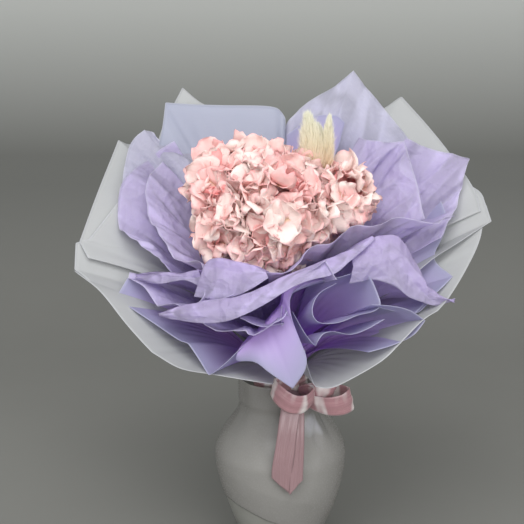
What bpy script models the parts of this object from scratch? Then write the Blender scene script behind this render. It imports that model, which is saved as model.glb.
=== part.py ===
"""A hydrangea head with bunny tail grass, wrapped in film and tissue, standing in a glass jar.

Metres, +Z up. The origin is the centre of the jar's foot, on the surface that it stands on.
The bouquet's face looks towards -Y. Azimuths are in degrees, 0 at +X and 90 at +Y, the back.
"""

import math

import bmesh
import bpy
from mathutils import Matrix, Vector

GAP = 0.0005  # clearance between pieces that rest on each other

# The jar: outer radii and their heights, from the foot to the rim.
JAR_HEIGHT = 0.156
FOOT_RADIUS = 0.0345
WAIST_RADIUS = 0.0325
WAIST_HEIGHT = 0.009
BELLY_RADIUS = 0.0575
BELLY_HEIGHT = 0.64 * JAR_HEIGHT
NECK_RADIUS = 0.0345
NECK_HEIGHT = JAR_HEIGHT - 0.006
RIM_RADIUS = 0.0360
JAR_WALL = 0.0035
JAR_BASE = 0.009
JAR_BASE_INSET = 0.003  # how much narrower the inside is at its bottom
JAR_SEGMENTS = 24
JAR_LOW_RINGS = (0.26 * JAR_HEIGHT, 0.46 * JAR_HEIGHT)  # between the waist and the belly
JAR_HIGH_RING = 0.80 * JAR_HEIGHT

# The skirt of film that is drawn over the jar, and the slanting edge where it ends.
SKIRT_THICKNESS = 0.0007
SKIRT_CLEARANCE = 0.0014
SKIRT_TOP_DROP = 0.0025  # how far its top is below the tie
SKIRT_FRONT_TOP = 0.0010  # how far its top is above the rim in front, where the ribbon comes out
SKIRT_FRONT_AZIMUTH = 290.0
SKIRT_FRONT_COSINES = (0.40, 0.70)  # the top starts to dip at the first and has dipped at the second
SKIRT_EDGE_HEIGHT = 0.040
SKIRT_EDGE_RISE = 0.022
SKIRT_EDGE_AZIMUTH = 200.0
SKIRT_LOW_ROWS = (0.0, 0.35, 0.7, 1.0)  # shares of the way from the edge up to the belly

# The tie, where the stems and every sheet are gathered.
TIE_HEIGHT = JAR_HEIGHT + 0.022
STEM_RADIUS = 0.0034
STEM_TIE_HEIGHT = 0.014
STEM_TIE_INNER = STEM_RADIUS + 0.0051  # room for the grass stems beside the main one
STEM_TIE_WALL = 0.0012

# The sheets: the innermost starts at THROAT_INNER, and each level outwards is one step wider.
SHEET_THICKNESS = 0.0006
THROAT_INNER = STEM_TIE_INNER + STEM_TIE_WALL + 0.0013
LEVEL_STEP = 0.0011
LEVELS = 9
KNEE_LENGTH = 0.020  # how far a sheet runs straight up before it leans outwards
OUTER_LEAN = (31.0, 35.0)  # elevation of the outermost sheet: mean, and what the back adds
INNER_LEAN = (66.0, 12.0)  # the same for the innermost
LEAN_SPREAD = 0.7  # under 1, the inner levels stand further apart than the outer ones
SHEET_COLUMN = 10.0  # the most degrees between two columns of a sheet's mesh
KNEE_ROWS = (0.0, 0.010, 0.022, 0.042)  # distances of the rows that every sheet has
OUTER_ROWS = (0.5, 1.0)  # the rest, as shares of what is left of its reach

# The flower head: a dome of floret clusters, tipped forwards. Its sizes follow the clusters'.
CLUSTER_RADIUS = 0.0205
HEAD_CENTRE = Vector((0.0, -0.025, TIE_HEIGHT + 8.2 * CLUSTER_RADIUS))
HEAD_TILT = 20.0
CROWN_RISE = 1.76 * CLUSTER_RADIUS
INNER_RING = (2.15 * CLUSTER_RADIUS, 1.17 * CLUSTER_RADIUS, 6, 35.0)  # radius, rise, places, first azimuth
OUTER_RING = (3.32 * CLUSTER_RADIUS, -0.54 * CLUSTER_RADIUS, 10, 17.0)
GRASS_PLACE = 0  # the place in the inner ring that is left open for the grass
CLUSTER_SEGMENTS = 10
CLUSTER_RINGS = 6

# Stems.
STEM_LOW_Y = 0.008
STEM_TOP_DROP = 1.66 * CLUSTER_RADIUS
STEM_SIDES = 8
RAY_RADIUS = 0.0011
RAY_FLARE = 1.5  # how much thicker a ray is at the stem
THIN_SIDES = 5  # of a ray and of a grass stem
RAY_SINK = 0.5 * STEM_RADIUS  # how deep a ray starts inside the stem
GRASS_STEM_RADIUS = 0.0009
GRASS_STEM_SPREAD = 2.2  # how much further apart the grass stems are at the bottom than at the tie
GRASS_STEM_LIFT = 0.004  # how far their ends are above the jar's base
GRASS_STEM_BEND = Vector((0.0, 0.006, 0.0))
GRASS_SIDES = 9
STEM_SAMPLES = 3  # points of a stem's path between two of its given ones

# A bunny tail's outline: shares of its length, and of its thickest radius.
GRASS_SHAPE = ((0, 0.30), (0.12, 0.75), (0.30, 1.0), (0.50, 0.94), (0.70, 0.70), (0.87, 0.38), (1, 0.08))

# The satin ribbon.
RIBBON_WIDTH = 0.022
RIBBON_THICKNESS = 0.0009
BAND_LOW = TIE_HEIGHT - 0.0118
BAND_WIDTH = 0.013
BAND_WALL = 0.0010
KNOT_SIZE = Vector((0.012, 0.008, 0.016))
KNOT_GAP = 0.0016
KNOT_RIGHT = 0.009
KNOT_DROP = 0.003  # how far the knot's middle is below the tie
KNOT_ROUNDING = 0.0028
LOOP_WAY = Vector((0, -0.25, 0.97)).normalized()  # the direction of a loop's width
TAIL_WAY = Vector((1, 0, 0))
LOOP_SAMPLES = 3

# name: (base colour, roughness)
FINISHES = {
    "jar_glass": ((0.72, 0.73, 0.71), 0.35),
    "frosted_film": ((0.80, 0.82, 0.82), 0.45),
    "lavender_film": ((0.60, 0.57, 0.80), 0.50),
    "tissue": ((0.64, 0.58, 0.82), 0.70),
    "satin": ((0.74, 0.50, 0.54), 0.30),
    "petals": ((0.92, 0.70, 0.68), 0.60),
    "grass": ((0.88, 0.82, 0.66), 0.90),
    "stem": ((0.34, 0.36, 0.18), 0.70),
    "twine": ((0.62, 0.52, 0.36), 0.90),
}

# Sheets: name, finish, level from the inside (0) to the outside (9), and the outline as
# (azimuth, reach from the tie) corners, in degrees and metres, joined by straight edges.
SHEETS = (
    ("film_back_left", "frosted_film", 9, ((85, 0.225), (112, 0.235), (135, 0.278), (168, 0.205))),
    ("film_back_right", "frosted_film", 8, ((10, 0.225), (42, 0.277), (66, 0.235), (91, 0.230))),
    ("film_left", "frosted_film", 8, ((149, 0.225), (158, 0.260), (181, 0.218), (194, 0.205))),
    ("film_left_fold", "frosted_film", 7, ((164, 0.200), (174, 0.215), (188, 0.212), (200, 0.180))),
    ("film_right", "frosted_film", 9, ((-13, 0.200), (-1, 0.220), (12, 0.218), (28, 0.205))),
    ("film_front_left", "frosted_film", 9, ((192, 0.200), (214, 0.150), (240, 0.134), (263, 0.126))),
    ("film_front_right", "frosted_film", 9, ((266, 0.120), (291, 0.122), (318, 0.150), (344, 0.178))),
    ("lavender_back_left", "lavender_film", 7, ((88, 0.238), (115, 0.236), (143, 0.262), (150, 0.215))),
    ("lavender_back_right", "lavender_film", 7, ((45, 0.215), (50, 0.245), (68, 0.240), (85, 0.236))),
    ("lavender_right", "lavender_film", 7, ((-17, 0.186), (5, 0.215), (31, 0.254), (42, 0.225))),
    ("lavender_right_low", "lavender_film", 7, ((-52, 0.140), (-36, 0.168), (-20, 0.185))),
    ("lavender_front_right", "lavender_film", 6, ((276, 0.118), (296, 0.140), (316, 0.160), (329, 0.158))),
    ("lavender_front", "lavender_film", 7, ((236, 0.132), (252, 0.128), (274, 0.134), (281, 0.110))),
    ("lavender_front_left", "lavender_film", 6, ((190, 0.170), (205, 0.188), (228, 0.140), (240, 0.128))),
    ("tissue_back_right", "tissue", 6, ((22, 0.232), (40, 0.240), (58, 0.283), (94, 0.225))),
    ("tissue_back_left", "tissue", 6, ((104, 0.222), (140, 0.232), (154, 0.249), (171, 0.205))),
    ("tissue_right", "tissue", 5, ((-15, 0.195), (10, 0.257), (34, 0.222))),
    ("tissue_left", "tissue", 5, ((150, 0.215), (172, 0.216), (188, 0.205), (203, 0.170))),
    ("tissue_right_inner", "tissue", 4, ((-5, 0.180), (12, 0.236), (30, 0.225), (50, 0.215))),
    ("tissue_front_right", "tissue", 4, ((-62, 0.150), (-34, 0.182), (-22, 0.180), (-9, 0.172))),
    ("tissue_front_low", "tissue", 4, ((222, 0.150), (246, 0.134), (270, 0.136))),
    ("tissue_left_inner", "tissue", 3, ((151, 0.205), (180, 0.196), (212, 0.160))),
    ("tissue_front", "tissue", 3, ((216, 0.155), (250, 0.140), (290, 0.150), (325, 0.185), (349, 0.216))),
    ("tissue_front_left", "tissue", 2, ((190, 0.150), (200, 0.170), (218, 0.160), (236, 0.142))),
    ("tissue_under_flower", "tissue", 1, ((226, 0.128), (240, 0.136), (258, 0.134), (271, 0.126))),
)

# Bunny tails: name, foot and tip from the head's centre in cluster radii, thickest radius, and
# the stem's place at the tie.
GRASS = (
    ("bunny_tail_left", (1.32, 0.63, 1.36), (1.12, 1.61, 3.90), 0.0080, (0.0040, -0.0040)),
    ("bunny_tail_middle", (1.56, 1.37, 1.36), (1.61, 2.29, 3.31), 0.0062, (0.0050, 0.0038)),
    ("bunny_tail_right", (1.86, 0.73, 1.26), (2.05, 1.51, 3.80), 0.0056, (0.0066, -0.0010)),
)

# Ribbon loops as closed rings: name and the points that the ribbon's middle runs through, each
# as x, how far in front of the jar's axis it is, and how far below the tie.
LOOPS = (
    (
        "ribbon_loop_left",
        (
            (0.0070, RIM_RADIUS + 0.0005, 0.0025),
            (-0.0080, RIM_RADIUS + 0.0100, 0.0040),
            (-0.0060, RIM_RADIUS + 0.0260, 0.0080),
            (0.0100, RIM_RADIUS + 0.0340, 0.0100),
            (0.0270, RIM_RADIUS + 0.0250, 0.0080),
            (0.0200, RIM_RADIUS + 0.0080, 0.0040),
        ),
    ),
    (
        "ribbon_loop_right",
        (
            (0.0185, RIM_RADIUS - 0.0045, 0.0060),
            (0.0330, RIM_RADIUS + 0.0110, 0.0150),
            (0.0500, RIM_RADIUS + 0.0160, 0.0190),
            (0.0640, RIM_RADIUS + 0.0040, 0.0170),
            (0.0620, RIM_RADIUS - 0.0120, 0.0120),
            (0.0440, RIM_RADIUS - 0.0140, 0.0080),
        ),
    ),
)

# Ribbon tails: name, how far the end is cut at a slant, and the points that the middle runs
# through, in the same way as the loops.
TAILS = (
    (
        "ribbon_tail_front",
        0.012,
        (
            (0.008, RIM_RADIUS + 0.0065, 0.0180),
            (0.008, BELLY_RADIUS - 0.0005, 0.0340),
            (0.006, BELLY_RADIUS + 0.0070, 0.0630),
            (0.004, BELLY_RADIUS + 0.0075, 0.0980),
        ),
    ),
    (
        "ribbon_tail_back",
        -0.010,
        (
            (0.011, RIM_RADIUS + 0.0042, 0.0190),
            (0.012, BELLY_RADIUS - 0.0035, 0.0350),
            (0.011, BELLY_RADIUS + 0.0047, 0.0630),
            (0.009, BELLY_RADIUS + 0.0052, 0.0910),
        ),
    ),
)


def clear_scene():
    """Removes every object and mesh that the scene starts with."""
    for item in list(bpy.data.objects):
        bpy.data.objects.remove(item, do_unlink=True)
    for item in list(bpy.data.meshes):
        bpy.data.meshes.remove(item)


def finish(name):
    """The material of that finish, made once."""
    found = bpy.data.materials.get(name)
    if found:
        return found
    colour, roughness = FINISHES[name]
    made = bpy.data.materials.new(name)
    made.use_nodes = True
    shader = made.node_tree.nodes["Principled BSDF"]
    shader.inputs["Base Color"].default_value = (*colour, 1.0)
    shader.inputs["Roughness"].default_value = roughness
    shader.inputs["Metallic"].default_value = 0.0
    return made


def new_object(name, mesh, finish_name):
    """Links a mesh as an object of the scene, shaded smooth, with its finish."""
    made = bpy.data.objects.new(name, mesh)
    bpy.context.scene.collection.objects.link(made)
    mesh.materials.append(finish(finish_name))
    mesh.shade_smooth()
    mesh.set_sharp_from_angle(angle=math.radians(40))
    return made


def mesh_from(name, points, faces):
    """A mesh from points and faces, its normals made to agree and point outwards."""
    mesh = bpy.data.meshes.new(name)
    mesh.from_pydata([tuple(p) for p in points], [], faces)
    work = bmesh.new()
    work.from_mesh(mesh)
    bmesh.ops.recalc_face_normals(work, faces=work.faces)
    work.to_mesh(mesh)
    work.free()
    mesh.update()
    return mesh


def turned(name, profile, segments, finish_name):
    """A closed profile of (radius, height) points, spun round the Z axis."""
    work = bmesh.new()
    ring = [work.verts.new((r, 0.0, z)) for r, z in profile]
    edges = [work.edges.new((ring[i], ring[i - 1])) for i in range(len(ring))]
    bmesh.ops.spin(
        work, geom=ring + edges, axis=(0, 0, 1), cent=(0, 0, 0), steps=segments,
        angle=math.tau, use_duplicate=False,
    )
    bmesh.ops.remove_doubles(work, verts=work.verts, dist=1e-6)
    bmesh.ops.recalc_face_normals(work, faces=work.faces)
    mesh = bpy.data.meshes.new(name)
    work.to_mesh(mesh)
    work.free()
    return new_object(name, mesh, finish_name)


def eased(low, high, share):
    """A smooth step from low to high as share goes from 0 to 1."""
    share = min(1.0, max(0.0, share))
    return low + (high - low) * (3 - 2 * share) * share * share


def jar_radius(z):
    """The jar's outer radius at a height: foot, waist, belly, neck and rim, joined by curves."""
    if z < WAIST_HEIGHT:
        return eased(FOOT_RADIUS, WAIST_RADIUS, z / WAIST_HEIGHT)
    if z < BELLY_HEIGHT:
        share = (z - WAIST_HEIGHT) / (BELLY_HEIGHT - WAIST_HEIGHT)
        return WAIST_RADIUS + (BELLY_RADIUS - WAIST_RADIUS) * math.sin(share * math.pi / 2)
    if z < NECK_HEIGHT:
        return eased(BELLY_RADIUS, NECK_RADIUS, (z - BELLY_HEIGHT) / (NECK_HEIGHT - BELLY_HEIGHT))
    return eased(NECK_RADIUS, RIM_RADIUS, (z - NECK_HEIGHT) / (JAR_HEIGHT - NECK_HEIGHT))


def build_jar():
    """The jar: an outer wall, a rim, an inner wall one wall thickness in, and a flat foot."""
    waisted = (WAIST_HEIGHT, *JAR_LOW_RINGS, BELLY_HEIGHT, JAR_HIGH_RING, NECK_HEIGHT)
    outer = [(jar_radius(z), z) for z in (0.0, *waisted)] + [(RIM_RADIUS, JAR_HEIGHT)]
    inner = [(jar_radius(z) - JAR_WALL, z) for z in reversed(waisted[1:])]
    profile = [(0.0, 0.0)] + outer + [(RIM_RADIUS - JAR_WALL, JAR_HEIGHT)] + inner
    profile += [(WAIST_RADIUS - JAR_WALL - JAR_BASE_INSET, JAR_BASE), (0.0, JAR_BASE)]
    return turned("jar", profile, JAR_SEGMENTS, "jar_glass")


def skirt_edge(azimuth):
    """How high the skirt's lower edge is: a slanting cut, highest at SKIRT_EDGE_AZIMUTH."""
    return SKIRT_EDGE_HEIGHT + SKIRT_EDGE_RISE * math.cos(math.radians(azimuth - SKIRT_EDGE_AZIMUTH))


def skirt_top(azimuth):
    """How high the skirt's upper edge is: just under the tie, with a dip in front for the ribbon."""
    low, high = SKIRT_FRONT_COSINES
    towards = math.cos(math.radians(azimuth - SKIRT_FRONT_AZIMUTH))
    tall, dipped = TIE_HEIGHT - SKIRT_TOP_DROP, JAR_HEIGHT + SKIRT_FRONT_TOP
    return eased(tall, dipped, (towards - low) / (high - low))


def skirt_rows(azimuth):
    """(radius, height) up one column of the skirt: it hugs the jar, then goes straight up."""
    low = skirt_edge(azimuth)
    hugging = [low + (BELLY_HEIGHT - low) * share for share in SKIRT_LOW_ROWS]
    rows = [(jar_radius(z) + SKIRT_CLEARANCE, z) for z in (*hugging, JAR_HIGH_RING, NECK_HEIGHT)]
    rim = RIM_RADIUS + SKIRT_CLEARANCE
    return [*rows, (rim, JAR_HEIGHT), (rim, skirt_top(azimuth))]


def build_skirt():
    """The film drawn over the jar, from the tie down to a slanting edge, as a thin closed sleeve."""
    points, faces = [], []
    for c in range(JAR_SEGMENTS):
        azimuth = 360.0 * c / JAR_SEGMENTS
        turn = math.radians(azimuth)
        for radius, z in skirt_rows(azimuth):
            points.append((radius * math.cos(turn), radius * math.sin(turn), z))
    rows = len(points) // JAR_SEGMENTS
    for c in range(JAR_SEGMENTS):
        for r in range(rows - 1):
            a, b = c * rows + r, ((c + 1) % JAR_SEGMENTS) * rows + r
            faces.append((a, b, b + 1, a + 1))
    skirt = new_object("film_skirt", mesh_from("film_skirt", points, faces), "frosted_film")
    thicken(skirt, SKIRT_THICKNESS)


def thicken(item, thickness):
    """Gives an open surface a thickness, half to each side, with closed rims."""
    wall = item.modifiers.new("thickness", "SOLIDIFY")
    wall.thickness = thickness
    wall.offset = 0.0
    wall.use_even_offset = False
    wall.use_rim = True


def lean(azimuth, level):
    """Elevation in radians of a sheet at an azimuth: level 0 is the innermost, LEVELS the outermost."""
    share = (level / LEVELS) ** LEAN_SPREAD
    back = math.sin(math.radians(azimuth))
    outer = OUTER_LEAN[0] + OUTER_LEAN[1] * back
    inner = INNER_LEAN[0] + INNER_LEAN[1] * back
    return math.radians(inner + (outer - inner) * share)


def on_sheet(azimuth, level, distance):
    """The point of a sheet that far from its throat: it starts straight up, then leans outwards."""
    angle, turn = lean(azimuth, level), math.radians(azimuth)
    knee = KNEE_LENGTH * (1 - math.exp(-distance / KNEE_LENGTH))
    run = distance - knee
    radius = THROAT_INNER + LEVEL_STEP * level + math.cos(angle) * run
    height = TIE_HEIGHT + math.sin(angle) * run + knee
    return Vector((radius * math.cos(turn), radius * math.sin(turn), height))


def straight_reach(azimuth, first, second):
    """The reach at an azimuth on the straight edge between two (azimuth, reach) corners."""
    before, after = math.radians(azimuth - first[0]), math.radians(second[0] - azimuth)
    across = first[1] * math.sin(before) + second[1] * math.sin(after)
    return first[1] * second[1] * math.sin(before + after) / across


def outline_columns(corners):
    """(azimuth, reach) of each column of a sheet, with a column at every corner."""
    columns = [corners[0]]
    for first, second in zip(corners, corners[1:]):
        steps = max(1, math.ceil((second[0] - first[0]) / SHEET_COLUMN))
        for step in range(1, steps + 1):
            azimuth = first[0] + (second[0] - first[0]) * step / steps
            columns.append((azimuth, straight_reach(azimuth, first, second)))
    return columns


def build_sheet(name, finish_name, level, corners):
    """One sheet, gathered at the tie and spread to its outline."""
    columns = outline_columns(corners)
    points, faces = [], []
    for azimuth, reach in columns:
        left = reach - KNEE_ROWS[-1]
        rows = (*KNEE_ROWS, *(KNEE_ROWS[-1] + left * share for share in OUTER_ROWS))
        points += [on_sheet(azimuth, level, distance) for distance in rows]
    side = len(KNEE_ROWS) + len(OUTER_ROWS)
    for c in range(len(columns) - 1):
        for row in range(side - 1):
            a, b = c * side + row, (c + 1) * side + row
            faces.append((a, b, b + 1, a + 1))
    sheet = new_object(name, mesh_from(name, points, faces), finish_name)
    thicken(sheet, SHEET_THICKNESS)


def head_frame():
    """The flower head's place: its own Z axis is the dome's axis, tipped towards -Y."""
    return Matrix.Translation(HEAD_CENTRE) @ Matrix.Rotation(math.radians(HEAD_TILT), 4, "X")


def cluster_places():
    """Name and centre of every floret cluster, in the row frame."""
    frame = head_frame()
    places = [("floret_cluster_crown", frame @ Vector((0, 0, CROWN_RISE)))]
    for label, (radius, rise, count, first), skipped in (
        ("inner", INNER_RING, (GRASS_PLACE,)),
        ("outer", OUTER_RING, ()),
    ):
        for place in range(count):
            if place in skipped:
                continue
            turn = math.radians(first + 360.0 * place / count)
            centre = frame @ Vector((radius * math.cos(turn), radius * math.sin(turn), rise))
            places.append((f"floret_cluster_{label}_{place}", centre))
    return places


def build_cluster(name, centre):
    """One cluster of florets as a plain rounded solid."""
    work = bmesh.new()
    bmesh.ops.create_uvsphere(
        work, u_segments=CLUSTER_SEGMENTS, v_segments=CLUSTER_RINGS, radius=CLUSTER_RADIUS,
        matrix=Matrix.Translation(centre),
    )
    mesh = bpy.data.meshes.new(name)
    work.to_mesh(mesh)
    work.free()
    return new_object(name, mesh, "petals")


def smooth_path(points, samples):
    """Points read from a Catmull-Rom curve through the given ones."""
    ends = [points[0] * 2 - points[1], *points, points[-1] * 2 - points[-2]]
    path = []
    for i in range(1, len(ends) - 2):
        for step in range(samples):
            path.append(spline_point(ends[i - 1 : i + 3], step / samples))
    return [*path, points[-1]]


def spline_point(four, t):
    """One point of a Catmull-Rom piece, between its second and third point."""
    a, b, c, d = four
    return 0.5 * (2 * b + (c - a) * t + (2 * a - 5 * b + 4 * c - d) * t**2 + (3 * b - a - 3 * c + d) * t**3)


def tube(name, path, radii, finish_name, sides):
    """A round rod along a path, with a radius for each point, closed at both ends."""
    points, faces = [], []
    side_way = Vector((1, 0, 0))
    for i, here in enumerate(path):
        ahead = (path[min(i + 1, len(path) - 1)] - path[max(i - 1, 0)]).normalized()
        side_way = (side_way - ahead * side_way.dot(ahead)).normalized()
        other = ahead.cross(side_way)
        for s in range(sides):
            turn = math.tau * s / sides
            points.append(here + (side_way * math.cos(turn) + other * math.sin(turn)) * radii[i])
    for i in range(len(path) - 1):
        for s in range(sides):
            a, b = i * sides + s, i * sides + (s + 1) % sides
            faces.append((a, b, b + sides, a + sides))
    faces.append(tuple(reversed(range(sides))))
    faces.append(tuple(range(len(points) - sides, len(points))))
    return new_object(name, mesh_from(name, points, faces), finish_name)


def build_hydrangea_stem(places):
    """The woody stem, from the jar's bottom to the head, joined to a ray for each cluster."""
    top = head_frame() @ Vector((0, 0, -STEM_TOP_DROP))
    route = [
        Vector((0, STEM_LOW_Y, JAR_BASE + GAP)),
        Vector((0, STEM_LOW_Y / 2, JAR_HEIGHT / 2)),
        Vector((0, 0, TIE_HEIGHT)),
        Vector((0, (top.y) / 2, (TIE_HEIGHT + top.z) / 2)),
        top,
    ]
    path = smooth_path(route, STEM_SAMPLES)
    stem = tube("hydrangea_stem", path, [STEM_RADIUS] * len(path), "stem", STEM_SIDES)
    for i, (_, centre) in enumerate(places):
        away = (centre - top).normalized()
        end = centre - away * (CLUSTER_RADIUS + GAP)
        start = top - away * RAY_SINK
        ray = tube(f"ray_cutter_{i}", [start, end], [RAY_RADIUS * RAY_FLARE, RAY_RADIUS], "stem", THIN_SIDES)
        ray.hide_render = True
        ray.display_type = "WIRE"
        join = stem.modifiers.new(f"ray_{i}", "BOOLEAN")
        join.operation = "UNION"
        join.solver = "EXACT"
        join.object = ray


def build_grass(name, foot, tip, radius, tie_place):
    """One bunny tail: a thin stem up from the jar, and a seed head that is widest below its middle."""
    foot = HEAD_CENTRE + Vector(foot) * CLUSTER_RADIUS
    tip = HEAD_CENTRE + Vector(tip) * CLUSTER_RADIUS
    at_tie = Vector((*tie_place, TIE_HEIGHT))
    low_x, low_y = (place * GRASS_STEM_SPREAD for place in tie_place)
    below = (tip - foot).normalized()
    end = foot - below * 2 * GAP
    route = [
        Vector((low_x, low_y + STEM_LOW_Y, JAR_BASE + GRASS_STEM_LIFT)),
        at_tie,
        at_tie.lerp(end, 0.5) + GRASS_STEM_BEND,
        end,
    ]
    path = smooth_path(route, STEM_SAMPLES)
    tube(f"{name}_stem", path, [GRASS_STEM_RADIUS] * len(path), "stem", THIN_SIDES)
    rings = [(foot.lerp(tip, share), radius * swell) for share, swell in GRASS_SHAPE]
    tube(name, [place for place, _ in rings], [ring for _, ring in rings], "grass", GRASS_SIDES)


def closed_path(points, samples):
    """Points read from a closed Catmull-Rom curve through the given ones."""
    count, path = len(points), []
    for i in range(count):
        four = [points[(i + k - 1) % count] for k in range(4)]
        path += [spline_point(four, step / samples) for step in range(samples)]
    return path


def ribbon(name, path, way, closed=False, slant=0.0):
    """A flat ribbon along a path. way is the direction of its width, slant how far its end is cut."""
    points, faces = [], []
    count = len(path)
    half = way * (RIBBON_WIDTH / 2)
    for here in path:
        points += [here - half, here + half]
    points[-1].z += max(slant, 0.0)
    points[-2].z += max(-slant, 0.0)
    for i in range(count if closed else count - 1):
        a, b = 2 * i, 2 * ((i + 1) % count)
        faces.append((a, b, b + 1, a + 1))
    strip = new_object(name, mesh_from(name, points, faces), "satin")
    thicken(strip, RIBBON_THICKNESS)
    return strip


def build_ring(name, inner, wall, low, height, finish_name):
    """A plain upright band round the Z axis."""
    outer, high = inner + wall, low + height
    profile = [(inner, low), (outer, low), (outer, high), (inner, high)]
    turned(name, profile, JAR_SEGMENTS, finish_name)


def band_outer():
    """The outer radius of the ribbon's band, which is just outside the outermost sheet."""
    return THROAT_INNER + LEVELS * LEVEL_STEP + SHEET_THICKNESS / 2 + 2 * GAP + BAND_WALL


def build_knot():
    """The ribbon's knot, as a rounded block in front of the band."""
    front = band_outer() + KNOT_GAP + KNOT_SIZE.y / 2
    work = bmesh.new()
    bmesh.ops.create_cube(work, size=1.0)
    bmesh.ops.scale(work, vec=KNOT_SIZE, verts=work.verts)
    bmesh.ops.bevel(
        work, geom=work.edges[:], offset=KNOT_ROUNDING, segments=2, profile=0.5, affect="EDGES"
    )
    place = Vector((KNOT_RIGHT, -front, TIE_HEIGHT - KNOT_DROP))
    bmesh.ops.translate(work, vec=place, verts=work.verts)
    mesh = bpy.data.meshes.new("ribbon_knot")
    work.to_mesh(mesh)
    work.free()
    new_object("ribbon_knot", mesh, "satin")


def hung(points):
    """Places from (x, how far in front of the jar's axis, how far below the tie)."""
    return [Vector((x, -front, TIE_HEIGHT - drop)) for x, front, drop in points]


def build_ribbon():
    """The band round the tie, its knot, two loops and two tails."""
    build_ring("ribbon_band", band_outer() - BAND_WALL, BAND_WALL, BAND_LOW, BAND_WIDTH, "satin")
    build_knot()
    for name, points in LOOPS:
        ribbon(name, closed_path(hung(points), LOOP_SAMPLES), LOOP_WAY, closed=True)
    for name, slant, points in TAILS:
        ribbon(name, smooth_path(hung(points), LOOP_SAMPLES), TAIL_WAY, slant=slant)


def main():
    """Builds every piece."""
    clear_scene()
    build_jar()
    build_skirt()
    low = TIE_HEIGHT - STEM_TIE_HEIGHT / 2
    build_ring("stem_tie", STEM_TIE_INNER, STEM_TIE_WALL, low, STEM_TIE_HEIGHT, "twine")
    places = cluster_places()
    for name, centre in places:
        build_cluster(name, centre)
    build_hydrangea_stem(places)
    for item in GRASS:
        build_grass(*item)
    for item in SHEETS:
        build_sheet(*item)
    build_ribbon()


main()
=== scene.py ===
"""The looks of a hydrangea bouquet in a jar: flower head, bunny tails, tissue, film and ribbon.

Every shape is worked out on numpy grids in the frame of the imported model: metres, +Z up, the
bouquet facing -Y, the origin at the centre of the jar's foot.
"""

from __future__ import annotations

import logging
import math
from dataclasses import dataclass, field
from enum import Enum

import bpy
import numpy as np
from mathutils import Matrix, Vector


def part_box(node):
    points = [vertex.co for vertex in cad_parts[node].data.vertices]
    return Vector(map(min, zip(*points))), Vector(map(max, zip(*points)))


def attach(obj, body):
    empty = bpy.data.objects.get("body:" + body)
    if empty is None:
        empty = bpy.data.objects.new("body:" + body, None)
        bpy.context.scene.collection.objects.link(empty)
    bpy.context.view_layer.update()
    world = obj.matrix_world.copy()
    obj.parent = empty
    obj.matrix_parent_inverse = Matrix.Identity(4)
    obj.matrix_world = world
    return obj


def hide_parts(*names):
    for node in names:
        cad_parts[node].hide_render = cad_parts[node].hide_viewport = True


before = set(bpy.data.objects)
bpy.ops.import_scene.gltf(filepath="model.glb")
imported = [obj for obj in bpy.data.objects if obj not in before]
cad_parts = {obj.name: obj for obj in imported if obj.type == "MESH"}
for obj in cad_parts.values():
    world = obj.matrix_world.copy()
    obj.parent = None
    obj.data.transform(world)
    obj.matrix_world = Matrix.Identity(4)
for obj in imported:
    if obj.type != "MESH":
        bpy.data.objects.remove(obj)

LOG = logging.getLogger("bouquet")
BODY = "root"
MM = 0.001
TIE_HEIGHT = 0.178
THROAT_RADIUS = 0.011  # how wide the innermost sheet's circle is at the tie
LEVEL_STEP = 0.0011  # how much wider the circle of each further level is
RIDGE_SHARE = 0.62  # the share of a folded sheet's rows that lies before its ridge
ROW_POWER = 0.9  # rows stand closer together towards the free edge
GATHER_PITCH = 0.016  # width of one small gather at the tie
GATHER_DEPTH, RIDGED_GATHER_DEPTH = 0.0010, 0.0002
CREASES = ((1.0, 38, 58), (0.42, 17, 26), (0.10, 8, 11))  # share of the height, width and length in mm
GOLDEN_TURN = 2.399963  # radians from one point of an even spiral to the next
PHASES = (0, 6.28)  # the range of a random phase
FILM_THICKNESS, SATIN_THICKNESS, BAND_THICKNESS, SEPAL_THICKNESS = 0.0003, 0.0003, 0.0004, 0.00028
PALE_FIBRE = (0.80, 0.79, 0.88)
# painted highlight along the lines where the creases bend
CREASE_HIGHLIGHT = (0.80, 0.79, 0.90)
# painted highlight: the thin bright line on each sheet's free rim and the bright facets on the skirt's
# shoulder
RIM_HIGHLIGHT = (0.86, 0.87, 0.94)
SEEN_THROUGH = (0.96, 0.96, 0.98, 1.0)

Point = tuple[float, float, float]
Colour = tuple[float, float, float]
Range = tuple[float, float]


class Held(Enum):
    """How a sheet can be held: gathered or folded."""

    GATHERED = "gathered"
    FOLDED = "folded"


# ---------------------------------------------------------------- meshes


def unit(rows: np.ndarray) -> np.ndarray:
    """Scales vectors to length one.

    Args:
        rows: an array whose last axis holds x, y and z.
    Returns:
        The same vectors, each divided by its length.
    """
    return rows / np.maximum(np.linalg.norm(rows, axis=-1, keepdims=True), 1e-12)


def catmull(points: np.ndarray, count: int) -> np.ndarray:
    """Reads evenly spaced points from a smooth curve through the given ones.

    Each piece is the Catmull-Rom cubic of its four neighbouring points. The dense curve is then
    read again at even steps of its length.

    Args:
        points: the points to pass through, one a row.
        count: how many points to return.
    Returns:
        An array of count points.
    """
    ends = np.vstack([2 * points[0] - points[1], points, 2 * points[-1] - points[-2]])
    t = np.linspace(0, 1, 24, endpoint=False)[:, None]
    pieces = []
    for a, b, c, d in zip(ends, ends[1:], ends[2:], ends[3:]):
        cubic = 2 * b + (c - a) * t + (2 * a - 5 * b + 4 * c - d) * t**2 + (3 * b - a - 3 * c + d) * t**3
        pieces.append(cubic / 2)
    return resampled(np.vstack([*pieces, points[-1:]]), count)


def resampled(path: np.ndarray, count: int) -> np.ndarray:
    """Reads a polyline at even steps of its length.

    Args:
        path: the polyline's points.
        count: how many points to return.
    Returns:
        An array of count points along it.
    """
    steps = np.r_[0, np.cumsum(np.linalg.norm(np.diff(path, axis=0), axis=1))]
    at = np.linspace(0, steps[-1], count)
    return np.stack([np.interp(at, steps, path[:, k]) for k in range(path.shape[1])], axis=1)


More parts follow.
